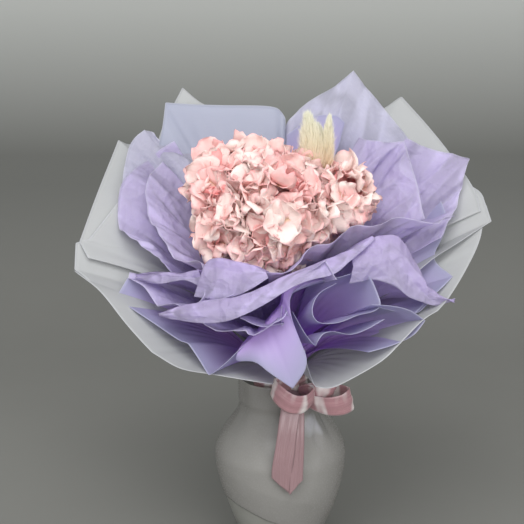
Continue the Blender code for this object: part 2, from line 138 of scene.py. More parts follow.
def quadratic(start: np.ndarray, handle: np.ndarray, end: np.ndarray, t: np.ndarray) -> np.ndarray:
    """Quadratic curves, one a row of start, read at every t."""
    w = t[None, :, None]
    return (1 - w) ** 2 * start[:, None] + 2 * w * (1 - w) * handle[:, None] + w**2 * end[:, None]


def grid_faces(rows: int, columns: int, wrap: bool = False, flip: bool = False) -> np.ndarray:
    """Quads of a grid of rows by columns vertices, numbered row by row.

    Args:
        rows: vertices along the first axis.
        columns: vertices along the second axis.
        wrap: whether the last column joins the first.
        flip: whether the faces look the other way.
    Returns:
        An array of four vertex numbers a face.
    """
    i, j = np.meshgrid(np.arange(rows - 1), np.arange(columns - (0 if wrap else 1)), indexing="ij")
    right = (j + 1) % columns
    near, far = i * columns, (i + 1) * columns
    quads = np.stack([near + j, near + right, far + right, far + j], -1).reshape(-1, 4)
    return quads[:, ::-1] if flip else quads


def ring_faces(columns: int, rows: int) -> np.ndarray:
    """The faces of a sleeve: a grid whose last column joins its first, facing outwards.

    Args:
        columns: how many columns stand round the sleeve.
        rows: points a column.
    Returns:
        An array of four vertex numbers a face.
    """
    seam, last = np.arange(rows - 1), (columns - 1) * rows
    closing = np.stack([last + seam, last + seam + 1, seam + 1, seam], 1)
    return np.vstack([grid_faces(columns, rows), closing])[:, ::-1]


def turned_faces(rings: int, columns: int, flip: bool = False) -> tuple[np.ndarray, np.ndarray]:
    """The faces of a closed turned shape: quads between its rings, and a fan at each end.

    Args:
        rings: how many rings of points come first. The two end points follow them.
        columns: points a ring.
        flip: whether the faces look the other way.
    Returns:
        The quads and the triangles.
    """
    here = np.arange(columns)
    ahead = (here + 1) % columns
    last, end = (rings - 1) * columns, rings * columns
    low = np.stack([np.full(columns, end), ahead, here], 1)
    high = np.stack([np.full(columns, end + 1), last + here, last + ahead], 1)
    tris = np.vstack([low, high])
    return grid_faces(rings, columns, wrap=True, flip=flip), tris[:, [0, 2, 1]] if flip else tris


def add_mesh(
    name: str, points: np.ndarray, quads: np.ndarray, tris: np.ndarray | None = None
) -> bpy.types.Object:
    """Makes an object at the origin from arrays of points and faces, shaded smooth.

    Args:
        name: the piece's name.
        points: vertex places, one a row.
        quads: four vertex numbers a row.
        tris: three vertex numbers a row, if there are triangles as well.
    Returns:
        The new object, riding on the body.
    """
    mesh = bpy.data.meshes.new(name)
    quads = np.asarray(quads, np.int32).reshape(-1, 4)
    tris = np.zeros((0, 3), np.int32) if tris is None else np.asarray(tris, np.int32)
    mesh.vertices.add(len(points))
    mesh.vertices.foreach_set("co", np.ascontiguousarray(points, np.float32).ravel())
    mesh.loops.add(4 * len(quads) + 3 * len(tris))
    mesh.loops.foreach_set("vertex_index", np.concatenate([quads.ravel(), tris.ravel()]).astype(np.int32))
    starts = np.concatenate([4 * np.arange(len(quads)), 4 * len(quads) + 3 * np.arange(len(tris))])
    mesh.polygons.add(len(starts))
    mesh.polygons.foreach_set("loop_start", starts.astype(np.int32))
    mesh.update(calc_edges=True)
    mesh.validate()
    mesh.shade_smooth()
    made = bpy.data.objects.new(name, mesh)
    bpy.context.scene.collection.objects.link(made)
    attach(made, BODY)
    return made


def add_attributes(piece: bpy.types.Object, **attributes: np.ndarray) -> None:
    """Stores numbers at the vertices, for the finish to read.

    Args:
        piece: the object.
        attributes: one value a vertex, under each attribute's name.
    """
    for name, values in attributes.items():
        made = piece.data.attributes.new(name, "FLOAT", "POINT")
        made.data.foreach_set("value", np.ascontiguousarray(values, np.float32).ravel())


def add_uv(piece: bpy.types.Object, uv: np.ndarray) -> None:
    """Stores a UV map that holds metres on the flat piece.

    Args:
        piece: the object.
        uv: two values a vertex.
    """
    layer = piece.data.uv_layers.new(name="Cut")
    corners = np.zeros(len(piece.data.loops), np.int32)
    piece.data.loops.foreach_get("vertex_index", corners)
    layer.data.foreach_set("uv", np.ascontiguousarray(uv.reshape(-1, 2)[corners], np.float32).ravel())


def solidify(piece: bpy.types.Object, thickness: float) -> None:
    """Gives a surface a thickness, half to each side, with closed rims.

    Args:
        piece: the surface.
        thickness: metres.
    """
    wall = piece.modifiers.new("thickness", "SOLIDIFY")
    wall.thickness = thickness
    wall.offset = 0.0
    wall.use_rim = True


def dress(piece: bpy.types.Object, finish: bpy.types.Material) -> None:
    """Puts a finish on a piece, and reports the piece.

    Args:
        piece: the object.
        finish: its material.
    """
    piece.data.materials.clear()
    piece.data.materials.append(finish)
    LOG.info("%s: %d faces in %s", piece.name, len(piece.data.polygons), finish.name)


def facets(x: np.ndarray, y: np.ndarray, seed: int) -> np.ndarray:
    """Height of a creased surface, like paper that was crushed and opened again.

    Random heights stand on the corners of unit squares, each square is split along one diagonal,
    which changes from square to square, and every half is flat. The squares are bent first by
    slow waves, so that the creases don't run in straight rows.

    Args:
        x: first coordinate, one unit to a square.
        y: second coordinate.
        seed: chooses the heights.
    Returns:
        Heights of about -1 to 1.
    """
    rng = np.random.default_rng(seed)
    table = rng.uniform(-1, 1, (64, 64))
    phase = rng.uniform(*PHASES, 6)
    turn = rng.uniform(0, 3.14)
    x, y = x * math.cos(turn) - y * math.sin(turn), x * math.sin(turn) + y * math.cos(turn)
    bent_x = x + 0.33 * np.sin(1.9 * y + phase[0]) + 0.21 * np.sin(3.1 * x + 1.3 * y + phase[1])
    bent_y = y + 0.33 * np.sin(1.7 * x + phase[2]) + 0.21 * np.sin(2.7 * y - 1.1 * x + phase[3])
    i, j = np.floor(bent_x).astype(int), np.floor(bent_y).astype(int)
    fx, fy = bent_x - i, bent_y - j
    flip = (i * 7 + j * 13) % 3 == 0
    a, b = table[i % 64, j % 64], table[(i + 1) % 64, j % 64]
    c, d = table[i % 64, (j + 1) % 64], table[(i + 1) % 64, (j + 1) % 64]
    beyond = d + (c - d) * (1 - fx) + (b - d) * (1 - fy)
    first = np.where(fx + fy < 1, a + (b - a) * fx + (c - a) * fy, beyond)
    second = np.where(fx > fy, a + (b - a) * fx + (d - b) * fy, a + (d - c) * fx + (c - a) * fy)
    return np.where(flip, second, first)


def grid_normals(points: np.ndarray) -> np.ndarray:
    """Unit normals of a grid of points: the cross product of its two slopes.

    Args:
        points: an array of rows by columns by 3.
    Returns:
        An array of the same shape.
    """
    return unit(np.cross(np.gradient(points, axis=0), np.gradient(points, axis=1)))


# ---------------------------------------------------------------- finishes


class Nodes:
    """A short way to write a material's node tree."""

    def __init__(self, name: str) -> None:
        """Starts a material with only its output node.

        Args:
            name: the material's name.
        """
        self.material = bpy.data.materials.new(name)
        self.material.use_nodes = True
        self.tree = self.material.node_tree
        self.tree.nodes.clear()
        self.output = self.tree.nodes.new("ShaderNodeOutputMaterial")

    def add(self, kind: str, inputs: dict | None = None, **settings: object) -> bpy.types.Node:
        """Adds a node.

        Args:
            kind: the node's type.
            inputs: socket name or number to a value or to another node's socket.
            settings: the node's own properties.
        Returns:
            The node.
        """
        node = self.tree.nodes.new(kind)
        for key, value in settings.items():
            setattr(node, key, value)
        for key, value in (inputs or {}).items():
            if isinstance(value, bpy.types.NodeSocket):
                self.tree.links.new(value, node.inputs[key])
            else:
                node.inputs[key].default_value = value
        return node

    def math(self, operation: str, first: object, second: object = 0.0) -> bpy.types.NodeSocket:
        """The result of a Math node."""
        return self.add("ShaderNodeMath", {0: first, 1: second}, operation=operation).outputs[0]

    def mix(self, share: object, first: object, second: object, blend: str = "MIX") -> bpy.types.NodeSocket:
        """Mixes two colours.

        Args:
            share: 0 for the first colour, 1 for the second.
            first: a colour or a socket.
            second: a colour or a socket.
            blend: how they mix.
        Returns:
            The mixed colour.
        """
        node = self.add("ShaderNodeMix", data_type="RGBA", blend_type=blend)
        for number, value in ((0, share), (6, first), (7, second)):
            if isinstance(value, bpy.types.NodeSocket):
                self.tree.links.new(value, node.inputs[number])
            elif isinstance(value, tuple):
                node.inputs[number].default_value = (*value, 1.0)
            else:
                node.inputs[number].default_value = value
        return node.outputs[2]

    def noise(
        self, vector: object, scale: float, detail: float = 3.0, rough: float = 0.5
    ) -> bpy.types.NodeSocket:
        """The value of a Noise texture."""
        inputs = {"Vector": vector, "Scale": scale, "Detail": detail, "Roughness": rough}
        return self.add("ShaderNodeTexNoise", inputs).outputs[0]

    def spread(
        self, value: object, low: float, high: float, to_low: float = 0.0, to_high: float = 1.0
    ) -> bpy.types.NodeSocket:
        """A value's range stretched to another, and held inside it."""
        inputs = {"Value": value, "From Min": low, "From Max": high, "To Min": to_low, "To Max": to_high}
        return self.add("ShaderNodeMapRange", inputs).outputs[0]

    def blend(
        self, value: object, low: float, high: float, first: object, second: object, most: float = 1.0
    ) -> bpy.types.NodeSocket:
        """The first colour where the value is low, and most of the way to the second where it is high."""
        return self.mix(self.spread(value, low, high, 0.0, most), first, second)

    def attribute(self, name: str) -> bpy.types.NodeSocket:
        """The number that each vertex holds under that name."""
        return self.add("ShaderNodeAttribute", attribute_name=name).outputs["Fac"]

    def flat_place(self, across: float, along: float) -> bpy.types.NodeSocket:
        """The place on the flat piece, with its two directions scaled apart."""
        uv = self.add("ShaderNodeUVMap", uv_map="Cut").outputs[0]
        return self.add("ShaderNodeMapping", {"Vector": uv, "Scale": (across, along, 1.0)}).outputs[0]

    def place(self) -> bpy.types.NodeSocket:
        """The place in the object's own coordinates."""
        return self.add("ShaderNodeTexCoord").outputs["Object"]

    def wander(self, scale: float, amount: float) -> bpy.types.NodeSocket:
        """A vector that drifts from place to place, to bend another texture's coordinates.

        Args:
            scale: how fast it changes.
            amount: how far it drifts.
        Returns:
            The vector.
        """
        cloud = self.add("ShaderNodeTexNoise", {"Vector": self.place(), "Scale": scale, "Detail": 2.0})
        drift = {0: cloud.outputs[1], 3: amount}
        return self.add("ShaderNodeVectorMath", drift, operation="SCALE").outputs[0]

    def cells(self, vector: object, scale: float) -> bpy.types.NodeSocket:
        """The distance to the nearest cell's centre, in straight-sided cells."""
        inputs = {"Vector": vector, "Scale": scale}
        return self.add("ShaderNodeTexVoronoi", inputs, distance="MANHATTAN").outputs[0]

    def bump(
        self, height: object, distance: float, strength: float = 1.0, under: object = None
    ) -> bpy.types.NodeSocket:
        """Works out the normal of a bumpy surface.

        Args:
            height: the bumps.
            distance: how high they stand, in metres.
            strength: the share of them that shows.
            under: another bump's normal, to stand on.
        Returns:
            The normal.
        """
        inputs = {"Height": height, "Distance": distance, "Strength": strength}
        if under:
            inputs["Normal"] = under
        return self.add("ShaderNodeBump", inputs).outputs[0]

    def lit(
        self, base: object, rough: object, normal: object = None, through: float = 0.0,
        more: dict | None = None,
    ) -> bpy.types.NodeSocket:
        """Makes a surface that can also let light through from behind.

        Args:
            base: its colour.
            rough: its roughness.
            normal: its bumps.
            through: the share of the light that comes from behind.
            more: other inputs of the surface.
        Returns:
            The shader.
        """
        bumps = {"Normal": normal} if normal else {}
        inputs = {"Base Color": base, "Roughness": rough, **bumps, **(more or {})}
        surface = self.add("ShaderNodeBsdfPrincipled", inputs).outputs[0]
        if not through:
            return surface
        behind = self.add("ShaderNodeBsdfTranslucent", {"Color": base, **bumps}).outputs[0]
        return self.add("ShaderNodeMixShader", {0: through, 1: surface, 2: behind}).outputs[0]

    def finish(self, shader: bpy.types.NodeSocket) -> bpy.types.Material:
        """Joins the shader to the output and gives the material."""
        self.tree.links.new(shader, self.output.inputs["Surface"])
        return self.material


@dataclass(frozen=True)
class SheetFinish:
    """A thin sheet that lets light through: film or tissue."""

    name: str
    light: Colour
    deep: Colour
    # painted light: where light and deep are brighter than edge, as in the lavender film, the part nearer the
    # tie is painted brighter against the shade there
    edge: Colour  # the colour that it turns towards its free edge
    roughness: float
    glow: float  # share of the light that comes through from behind
    clear: float  # share of what is behind that shows
    fibre: float  # how strongly fibres show
    bump: float
    crinkle: float = 0.0  # depth of the small creases all over it, in metres
    # rim: how strongly the painted highlight shows where the pale attribute is high
    rim: float = 0.42  # how strongly its pale places show

    def build(self) -> bpy.types.Material:
        """Makes the material.

        Returns:
            Cloudy colour with fibres, a colour towards the free edge, painted highlights on the creases
            and the rim, painted light and shade on the leaning facets, a glow from behind and a little
            see-through.
        """
        n = Nodes(self.name)
        cloud = n.noise(n.place(), 28.0, 4.0)
        fibres = n.noise(n.flat_place(90.0, 900.0), 1.0, 5.0, 0.7)
        crossing = n.noise(n.flat_place(700.0, 120.0), 1.0, 4.0, 0.7)
        both = n.math("MAXIMUM", n.spread(fibres, 0.45, 0.75), n.spread(crossing, 0.5, 0.8))
        base = n.blend(cloud, 0.3, 0.7, self.deep, self.light)
        # towards the free edge the colour turns to edge; nearer the tie the lavender is painted brighter and
        # purpler, as light against the shade inside the wrap
        base = n.blend(n.attribute("reach"), 0.50, 1.00, base, self.edge)
        base = n.mix(n.math("MULTIPLY", both, self.fibre), base, PALE_FIBRE)
        # painted light and shade: each crease facet lighter or darker by which way it leans, as if lit
        base = n.mix(1.0, base, n.spread(n.attribute("lean"), -1.0, 1.0, 0.82, 1.14), "MULTIPLY")
        # painted highlight where the pale attribute is high: each sheet's free rim and the skirt's shoulder
        # facets
        base = n.blend(n.attribute("pale"), 0.55, 1.0, base, RIM_HIGHLIGHT, self.rim)
        # painted highlight: lighter along the lines where the creases bend
        base = n.mix(n.math("MULTIPLY", n.attribute("crease"), 0.22), base, CREASE_HIGHLIGHT)
        grain = n.noise(n.place(), 900.0, 2.0)
        height = n.math("ADD", n.math("MULTIPLY", both, 0.6), grain)
        normal = n.bump(height, self.bump)
        if self.crinkle:
            drift = {0: n.place(), 1: n.wander(14.0, 0.02)}
            bent = n.add("ShaderNodeVectorMath", drift, operation="ADD").outputs[0]
            folds = n.math("ADD", n.cells(bent, 42.0), n.math("MULTIPLY", n.cells(bent, 110.0), 0.35))
            normal = n.bump(folds, self.crinkle, 1.0, normal)
        rough = n.spread(grain, 0.2, 0.8, self.roughness - 0.06, self.roughness + 0.06)
        lit = n.lit(base, rough, normal, self.glow, {"Specular IOR Level": 0.35})
        seen = n.add("ShaderNodeBsdfTransparent", {"Color": SEEN_THROUGH}).outputs[0]
        return n.finish(n.add("ShaderNodeMixShader", {0: self.clear, 1: lit, 2: seen}).outputs[0])


@dataclass(frozen=True)
class PetalFinish:
    """Dried sepals: pale, pinker at the heart and the tips, with painted shade of deeper pink in among the
    petals and on the deeper florets.
    """

    pale: Colour = (1.0, 0.86, 0.82)
    pink: Colour = (1.0, 0.66, 0.64)
    edge: Colour = (0.98, 0.50, 0.52)
    # fold and deep: painted shade, deeper pink in among the petals and on the florets that sit deeper
    fold: Colour = (0.98, 0.55, 0.54)
    deep: Colour = (0.96, 0.34, 0.34)
    heart: Colour = (0.86, 0.62, 0.36)

    def build(self) -> bpy.types.Material:
        """Makes the material.

        Returns:
            The material, made from the petal's own attributes and fine veins.
        """
        n = Nodes("petals")
        along, tint, depth = n.attribute("along"), n.attribute("tint"), n.attribute("depth")
        cloud = n.noise(n.place(), 75.0, 4.0)
        mottle = n.math("ADD", n.math("MULTIPLY", cloud, 0.7), n.math("MULTIPLY", tint, 0.5))
        veins = n.noise(n.flat_place(14.0, 2.0), 1.0, 3.0, 0.6)
        base = n.blend(mottle, 0.55, 0.85, self.pale, self.pink)
        for value, low, high, colour, most in (
            (along, 0.45, 0.05, self.pink, 0.8),
            (along, 0.86, 1.0, self.edge, 0.55),
            (along, 0.14, 0.02, self.heart, 0.7),
            # painted shade: deeper pink in among the petals and on the deeper florets
            (n.attribute("inside"), 0.25, 1.0, self.fold, 0.72),
            (depth, 0.25, 1.0, self.deep, 0.92),
            (veins, 0.55, 0.75, self.pink, 0.35),
        ):
            base = n.blend(value, low, high, base, colour, most)
        rough = n.spread(cloud, 0.2, 0.8, 0.5, 0.7)
        return n.finish(n.lit(base, rough, n.bump(veins, 0.0006), 0.36, {"Specular IOR Level": 0.3}))


@dataclass(frozen=True)
class GrassFinish:
    """Bunny tail hairs: creamy, greener at the tips and tan at the base."""

    base: Colour = (0.86, 0.66, 0.48)
    middle: Colour = (0.86, 0.79, 0.64)
    tip: Colour = (0.84, 0.84, 0.74)
    straw: Colour = (0.90, 0.87, 0.74)

    def build(self) -> bpy.types.Material:
        """Makes the material.

        Returns:
            The material, made from how high each hair stands on the head.
        """
        n = Nodes("grass")
        along, tint = n.attribute("along"), n.attribute("tint")
        colour = n.blend(along, 0.0, 0.45, self.base, self.middle)
        colour = n.blend(along, 0.45, 1.0, colour, self.tip)
        colour = n.mix(n.math("MULTIPLY", tint, 0.35), colour, self.straw)
        rough = n.spread(n.noise(n.place(), 500.0, 2.0), 0.2, 0.8, 0.7, 0.95)
        return n.finish(n.lit(colour, rough, through=0.4))


@dataclass(frozen=True)
class StemFinish:
    """A dried stem with fine grooves along it."""

    name: str = "stem"
    light: Colour = (0.28, 0.27, 0.12)
    dark: Colour = (0.14, 0.11, 0.05)

    def build(self) -> bpy.types.Material:
        """Makes the material.

        Returns:
            The material, with streaks along the stem, and a matching bump.
        """
        n = Nodes(self.name)
        stretched = n.add("ShaderNodeMapping", {"Vector": n.place(), "Scale": (1.0, 1.0, 0.06)}).outputs[0]
        streaks = n.noise(stretched, 900.0, 4.0)
        base = n.blend(streaks, 0.35, 0.65, self.dark, self.light)
        return n.finish(n.lit(base, n.spread(streaks, 0.2, 0.8, 0.55, 0.8), n.bump(streaks, 0.0003)))


@dataclass(frozen=True)
class SatinFinish:
    """Satin ribbon: fine threads across a slightly streaked sheen, with painted highlights in bright bands
    across it.
    """

    name: str = "satin_loops_painted_light"
    light: Colour = (0.60, 0.34, 0.37)
    dark: Colour = (0.52, 0.27, 0.30)
    # shine: how strongly the painted highlight bands show, mixed toward the glint colour
    shine: float = 0.9  # how bright the bands across it are
    glint: Colour = (1.0, 0.95, 0.94)

    def build(self) -> bpy.types.Material:
        """Makes the material.

        Returns:
            The material, with threads in both directions of the flat ribbon.
        """
        n = Nodes(self.name)
        weft = n.noise(n.flat_place(60.0, 5200.0), 1.0, 2.0)
        warp = n.noise(n.flat_place(2600.0, 40.0), 1.0, 2.0)
        base = n.blend(n.math("ADD", warp, weft), 0.7, 1.3, self.dark, self.light)
        # painted highlight: bright bands across the ribbon, mixed toward the glint colour
        shine = n.noise(n.flat_place(12.0, 62.0), 1.0, 1.0)
        base = n.blend(shine, 0.50, 0.60, base, self.glint, self.shine)
        normal = n.bump(n.math("ADD", n.math("MULTIPLY", warp, 0.4), weft), 0.00005)
        sheen = {"Specular IOR Level": 0.8, "Sheen Weight": 0.3, "Sheen Roughness": 0.4}
        return n.finish(n.lit(base, n.spread(warp, 0.3, 0.7, 0.24, 0.32), normal, 0.22, sheen))


@dataclass(frozen=True)
class GlassFinish:
    """Frosted white glass, painted a darker grey for the bouquet's shade over it: cloudy, with a fine etched
    grain.
    """

    # painted shade: the white glass's colour is darkened to grey for the bouquet's shade over the jar
    light: Colour = (0.46, 0.46, 0.43)
    deep: Colour = (0.38, 0.38, 0.35)

    def build(self) -> bpy.types.Material:
        """Makes the material.

        Returns:
            The material, with an etched surface that glows through its wall.
        """
        n = Nodes("jar_glass")
        cloud = n.noise(n.place(), 22.0, 3.0)
        etched = n.noise(n.place(), 1400.0, 2.0)
        base = n.blend(cloud, 0.3, 0.7, self.deep, self.light)
        coat = {"Coat Weight": 0.15, "Coat Roughness": 0.3}
        rough = n.spread(etched, 0.2, 0.8, 0.28, 0.42)
        return n.finish(n.lit(base, rough, n.bump(etched, 0.0002), 0.35, coat))


@dataclass(frozen=True)
class TwineFinish:
    """Plain twine, with a twist that shows as slanting lines."""

    light: Colour = (0.50, 0.40, 0.24)
    dark: Colour = (0.26, 0.19, 0.10)

    def build(self) -> bpy.types.Material:
        """Makes the material.

        Returns:
            The material, made from slanting waves and fine fuzz.
        """
        n = Nodes("twine")
        inputs = {"Vector": n.place(), "Scale": 220.0, "Distortion": 2.0, "Detail": 2.0}
        twist = n.add("ShaderNodeTexWave", inputs, bands_direction="DIAGONAL").outputs[1]
        base = n.mix(twist, self.dark, self.light)
        return n.finish(n.lit(base, n.spread(twist, 0.0, 1.0, 0.75, 0.95), n.bump(twist, 0.0005)))


FROSTED = SheetFinish(
    "frosted_film",
    (0.55, 0.56, 0.565), (0.50, 0.51, 0.515), (0.56, 0.57, 0.575),
    0.34, 0.36, 0.26, 0.03, 0.00004,
)
# painted shade: the film over the jar is painted a darker grey than the wrap's frosted film, for the
# bouquet's shade over the jar
SHADED_SKIRT_FILM = SheetFinish(
    "skirt_film_painted_shade",
    (0.44, 0.43, 0.41), (0.39, 0.38, 0.36), (0.42, 0.41, 0.39),
    0.26, 0.30, 0.24, 0.03, 0.00004, rim=0.50,
)
# light and deep are painted brighter and purpler than edge, as light against the shade inside the cones and
# folds
LAVENDER = SheetFinish(
    "lavender_film",
    (0.82, 0.57, 1.0), (0.75, 0.51, 1.0), (0.47, 0.46, 0.64),
    0.42, 0.52, 0.06, 0.05, 0.00005,
)
PALE_LAVENDER = SheetFinish(
    "pale_lavender",
    (0.46, 0.47, 0.60), (0.43, 0.44, 0.57), (0.46, 0.48, 0.59),
    0.38, 0.35, 0.22, 0.05, 0.00005,
)
TISSUE = SheetFinish(
    "tissue",
    (0.66, 0.56, 0.81), (0.60, 0.50, 0.77), (0.64, 0.58, 0.78),
    0.75, 0.54, 0.16, 0.18, 0.00012, 0.0028,
)
PALE_TISSUE = SheetFinish(
    "pale_tissue",
    (0.59, 0.57, 0.71), (0.56, 0.54, 0.68), (0.60, 0.59, 0.71),
    0.75, 0.50, 0.14, 0.30, 0.00015, 0.0018,
)


# ---------------------------------------------------------------- wrapping


@dataclass(frozen=True)
class Sheet:
    """One sheet of film or tissue, gathered at the tie and spread to its free edge."""

    name: str
    finish: str
    level: float  # 0 is the innermost at the tie
    edge: tuple[Point, ...]  # corners and bends of the free edge, in millimetres
    sharp: tuple[int, ...] = ()  # which of those are sharp corners
    rise: float = 0.34  # how steeply it leaves the tie, as a share of its length
    flutes: tuple[float, float] = (0.0, 3.0)  # height in metres and number of waves across
    crumple: float = 0.0  # height of the creases in metres
    span: tuple[float, float] | None = None  # azimuths at the tie in degrees, if not the edge's own
    cut: tuple[float, float] = (0.25, 0.25)
    seed: int = 1
    replaces: str = ""
    grid: tuple[int, int] = (120, 72)
    thickness: float = 0.00025
    ridge: tuple[Point, ...] = ()  # where the sheet folds over before it drops to its free edge
    bow: Point = (0.0, -3.0, 3.0)  # how the part beyond the ridge bulges, in millimetres

    def free_edge(self, count: int) -> np.ndarray:
        """Reads the free edge as smooth curves between its sharp corners.

        Args:
            count: how many points to read.
        Returns:
            Points in metres.
        """
        points = np.array(self.edge, float) / 1000
        stops = sorted({0, *self.sharp, len(points) - 1})
        runs = []
        for a, b in zip(stops, stops[1:]):
            part = points[a : b + 1]
            dense = (catmull if len(part) > 2 else resampled)(part, 60)
            runs.append(dense if not runs else dense[1:])
        return resampled(np.vstack(runs), count)

    def throat(self, edge: np.ndarray) -> np.ndarray:
        """Where each line of the sheet starts, on a circle round the stems.

        Args:
            edge: the free edge's points.
        Returns:
            One start for each of them.
        """
        if self.span:
            turn = np.radians(np.linspace(*self.span, len(edge)))
        else:
            turn = np.unwrap(np.arctan2(edge[:, 1], edge[:, 0]))
        radius = THROAT_RADIUS + LEVEL_STEP * self.level
        return np.stack([radius * np.cos(turn), radius * np.sin(turn), np.full_like(turn, TIE_HEIGHT)], 1)

    def reach(self) -> np.ndarray:
        """How far along its lines each row lies, from 0 at the tie to 1 at the free edge."""
        return np.linspace(0.0, 1.0, self.grid[1]) ** ROW_POWER

    def lines(self, t: np.ndarray) -> np.ndarray:
        """Works out the smooth lines from the tie to the free edge.

        Each is a quadratic curve: start, a handle straight above the start, and the end. With a
        ridge, the first part of the line ends there, and a second curve drops to the free edge.

        Args:
            t: where to read the lines, from 0 at the tie to 1 at the edge.
        Returns:
            Points as columns by rows by 3.
        """
        columns, _ = self.grid
        edge = self.free_edge(columns)
        top = catmull(np.array(self.ridge, float) / 1000, columns) if self.ridge else edge
        start = self.throat(top)
        length = np.linalg.norm(top - start, axis=1)
        handle = start + np.outer(self.rise * length, (0, 0, 1)) + (top - start) * 0.10
        w = np.minimum(t / RIDGE_SHARE, 1) if self.ridge else t
        climb = quadratic(start, handle, top, w)
        if not self.ridge:
            return climb
        w = np.maximum((t - RIDGE_SHARE) / (1 - RIDGE_SHARE), 0)
        drop = quadratic(top, (top + edge) / 2 + np.array(self.bow) / 1000, edge, w)
        return np.where((t > RIDGE_SHARE)[None, :, None], drop, climb)

    def surface(self) -> tuple[np.ndarray, np.ndarray, np.ndarray, np.ndarray]:
        """Works out the sheet.

        Waves, gathers and creases move the smooth lines along their normal, growing from nothing
        at the tie.

        Returns:
            The grid of points, the place of each on the flat sheet, how creased it is there, for a
            painted highlight, and which way its facet leans, for painted light and shade.
        """
        columns, rows = self.grid
        t = self.reach()
        points = self.lines(t)
        s = np.linspace(0.0, 1.0, columns)[:, None]
        across = s * self.cut[0] * (0.15 + 0.85 * t[None, :])
        along = np.broadcast_to(t[None, :] * self.cut[1], (columns, rows))
        normal = grid_normals(points)
        grow = t[None, :] ** 1.3
        height, waves = self.flutes
        phase = np.random.default_rng(self.seed).uniform(*PHASES, 3)
        lift = height * grow * np.sin(2 * np.pi * waves * s + phase[0] + 1.1 * np.sin(5 * s + phase[1]))
        gathers = np.sin(2 * np.pi * self.cut[0] / GATHER_PITCH * s + 2.2 * np.sin(9 * s + phase[2]))
        depth = RIDGED_GATHER_DEPTH if self.ridge else GATHER_DEPTH
        lift = lift + depth * gathers * 4 * t[None, :] * (1 - t[None, :]) ** 1.5
        creased = np.zeros((columns, rows))
        if self.crumple:
            wide, tall = self.cut[0] * s / MM, along / MM
            broad, middling, fine = (
                share * facets(wide / width, tall / length, self.seed + number)
                for number, (share, width, length) in enumerate(CREASES)
            )
            creased = broad + middling
            lift = lift + self.crumple * (creased + fine) * np.minimum(1, 2.2 * t[None, :]) ** 1.2
        points = points + normal * lift[..., None]
        slope_s, slope_t = np.gradient(creased, axis=0), np.gradient(creased, axis=1)
        # bend: where the creases fold, which the finish paints as highlight lines
        bend = np.abs(np.gradient(slope_s, axis=0)) + np.abs(np.gradient(slope_t, axis=1))
        # lean: painted light and shade, from the slope of each crease facet
        lean = np.clip(9 * (slope_s + 0.7 * slope_t), -1, 1)
        return points, np.stack([across, along], -1), np.clip(bend * 9, 0, 1), lean

    def build(self, material: bpy.types.Material, slot: str) -> None:
        """Args:
            material: the finish.
            slot: not used.
        """
        points, flat, crease, lean = self.surface()
        columns, rows = self.grid
        piece = add_mesh(f"{self.name}_sheet", points.reshape(-1, 3), grid_faces(columns, rows))
        add_uv(piece, flat)
        reach = np.broadcast_to(self.reach(), (columns, rows))
        # pale marks the free rim, where the finish paints a highlight
        add_attributes(piece, crease=crease, lean=lean, reach=reach, pale=reach == 1.0)
        solidify(piece, self.thickness)
        dress(piece, material)
        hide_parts(self.replaces or self.name)


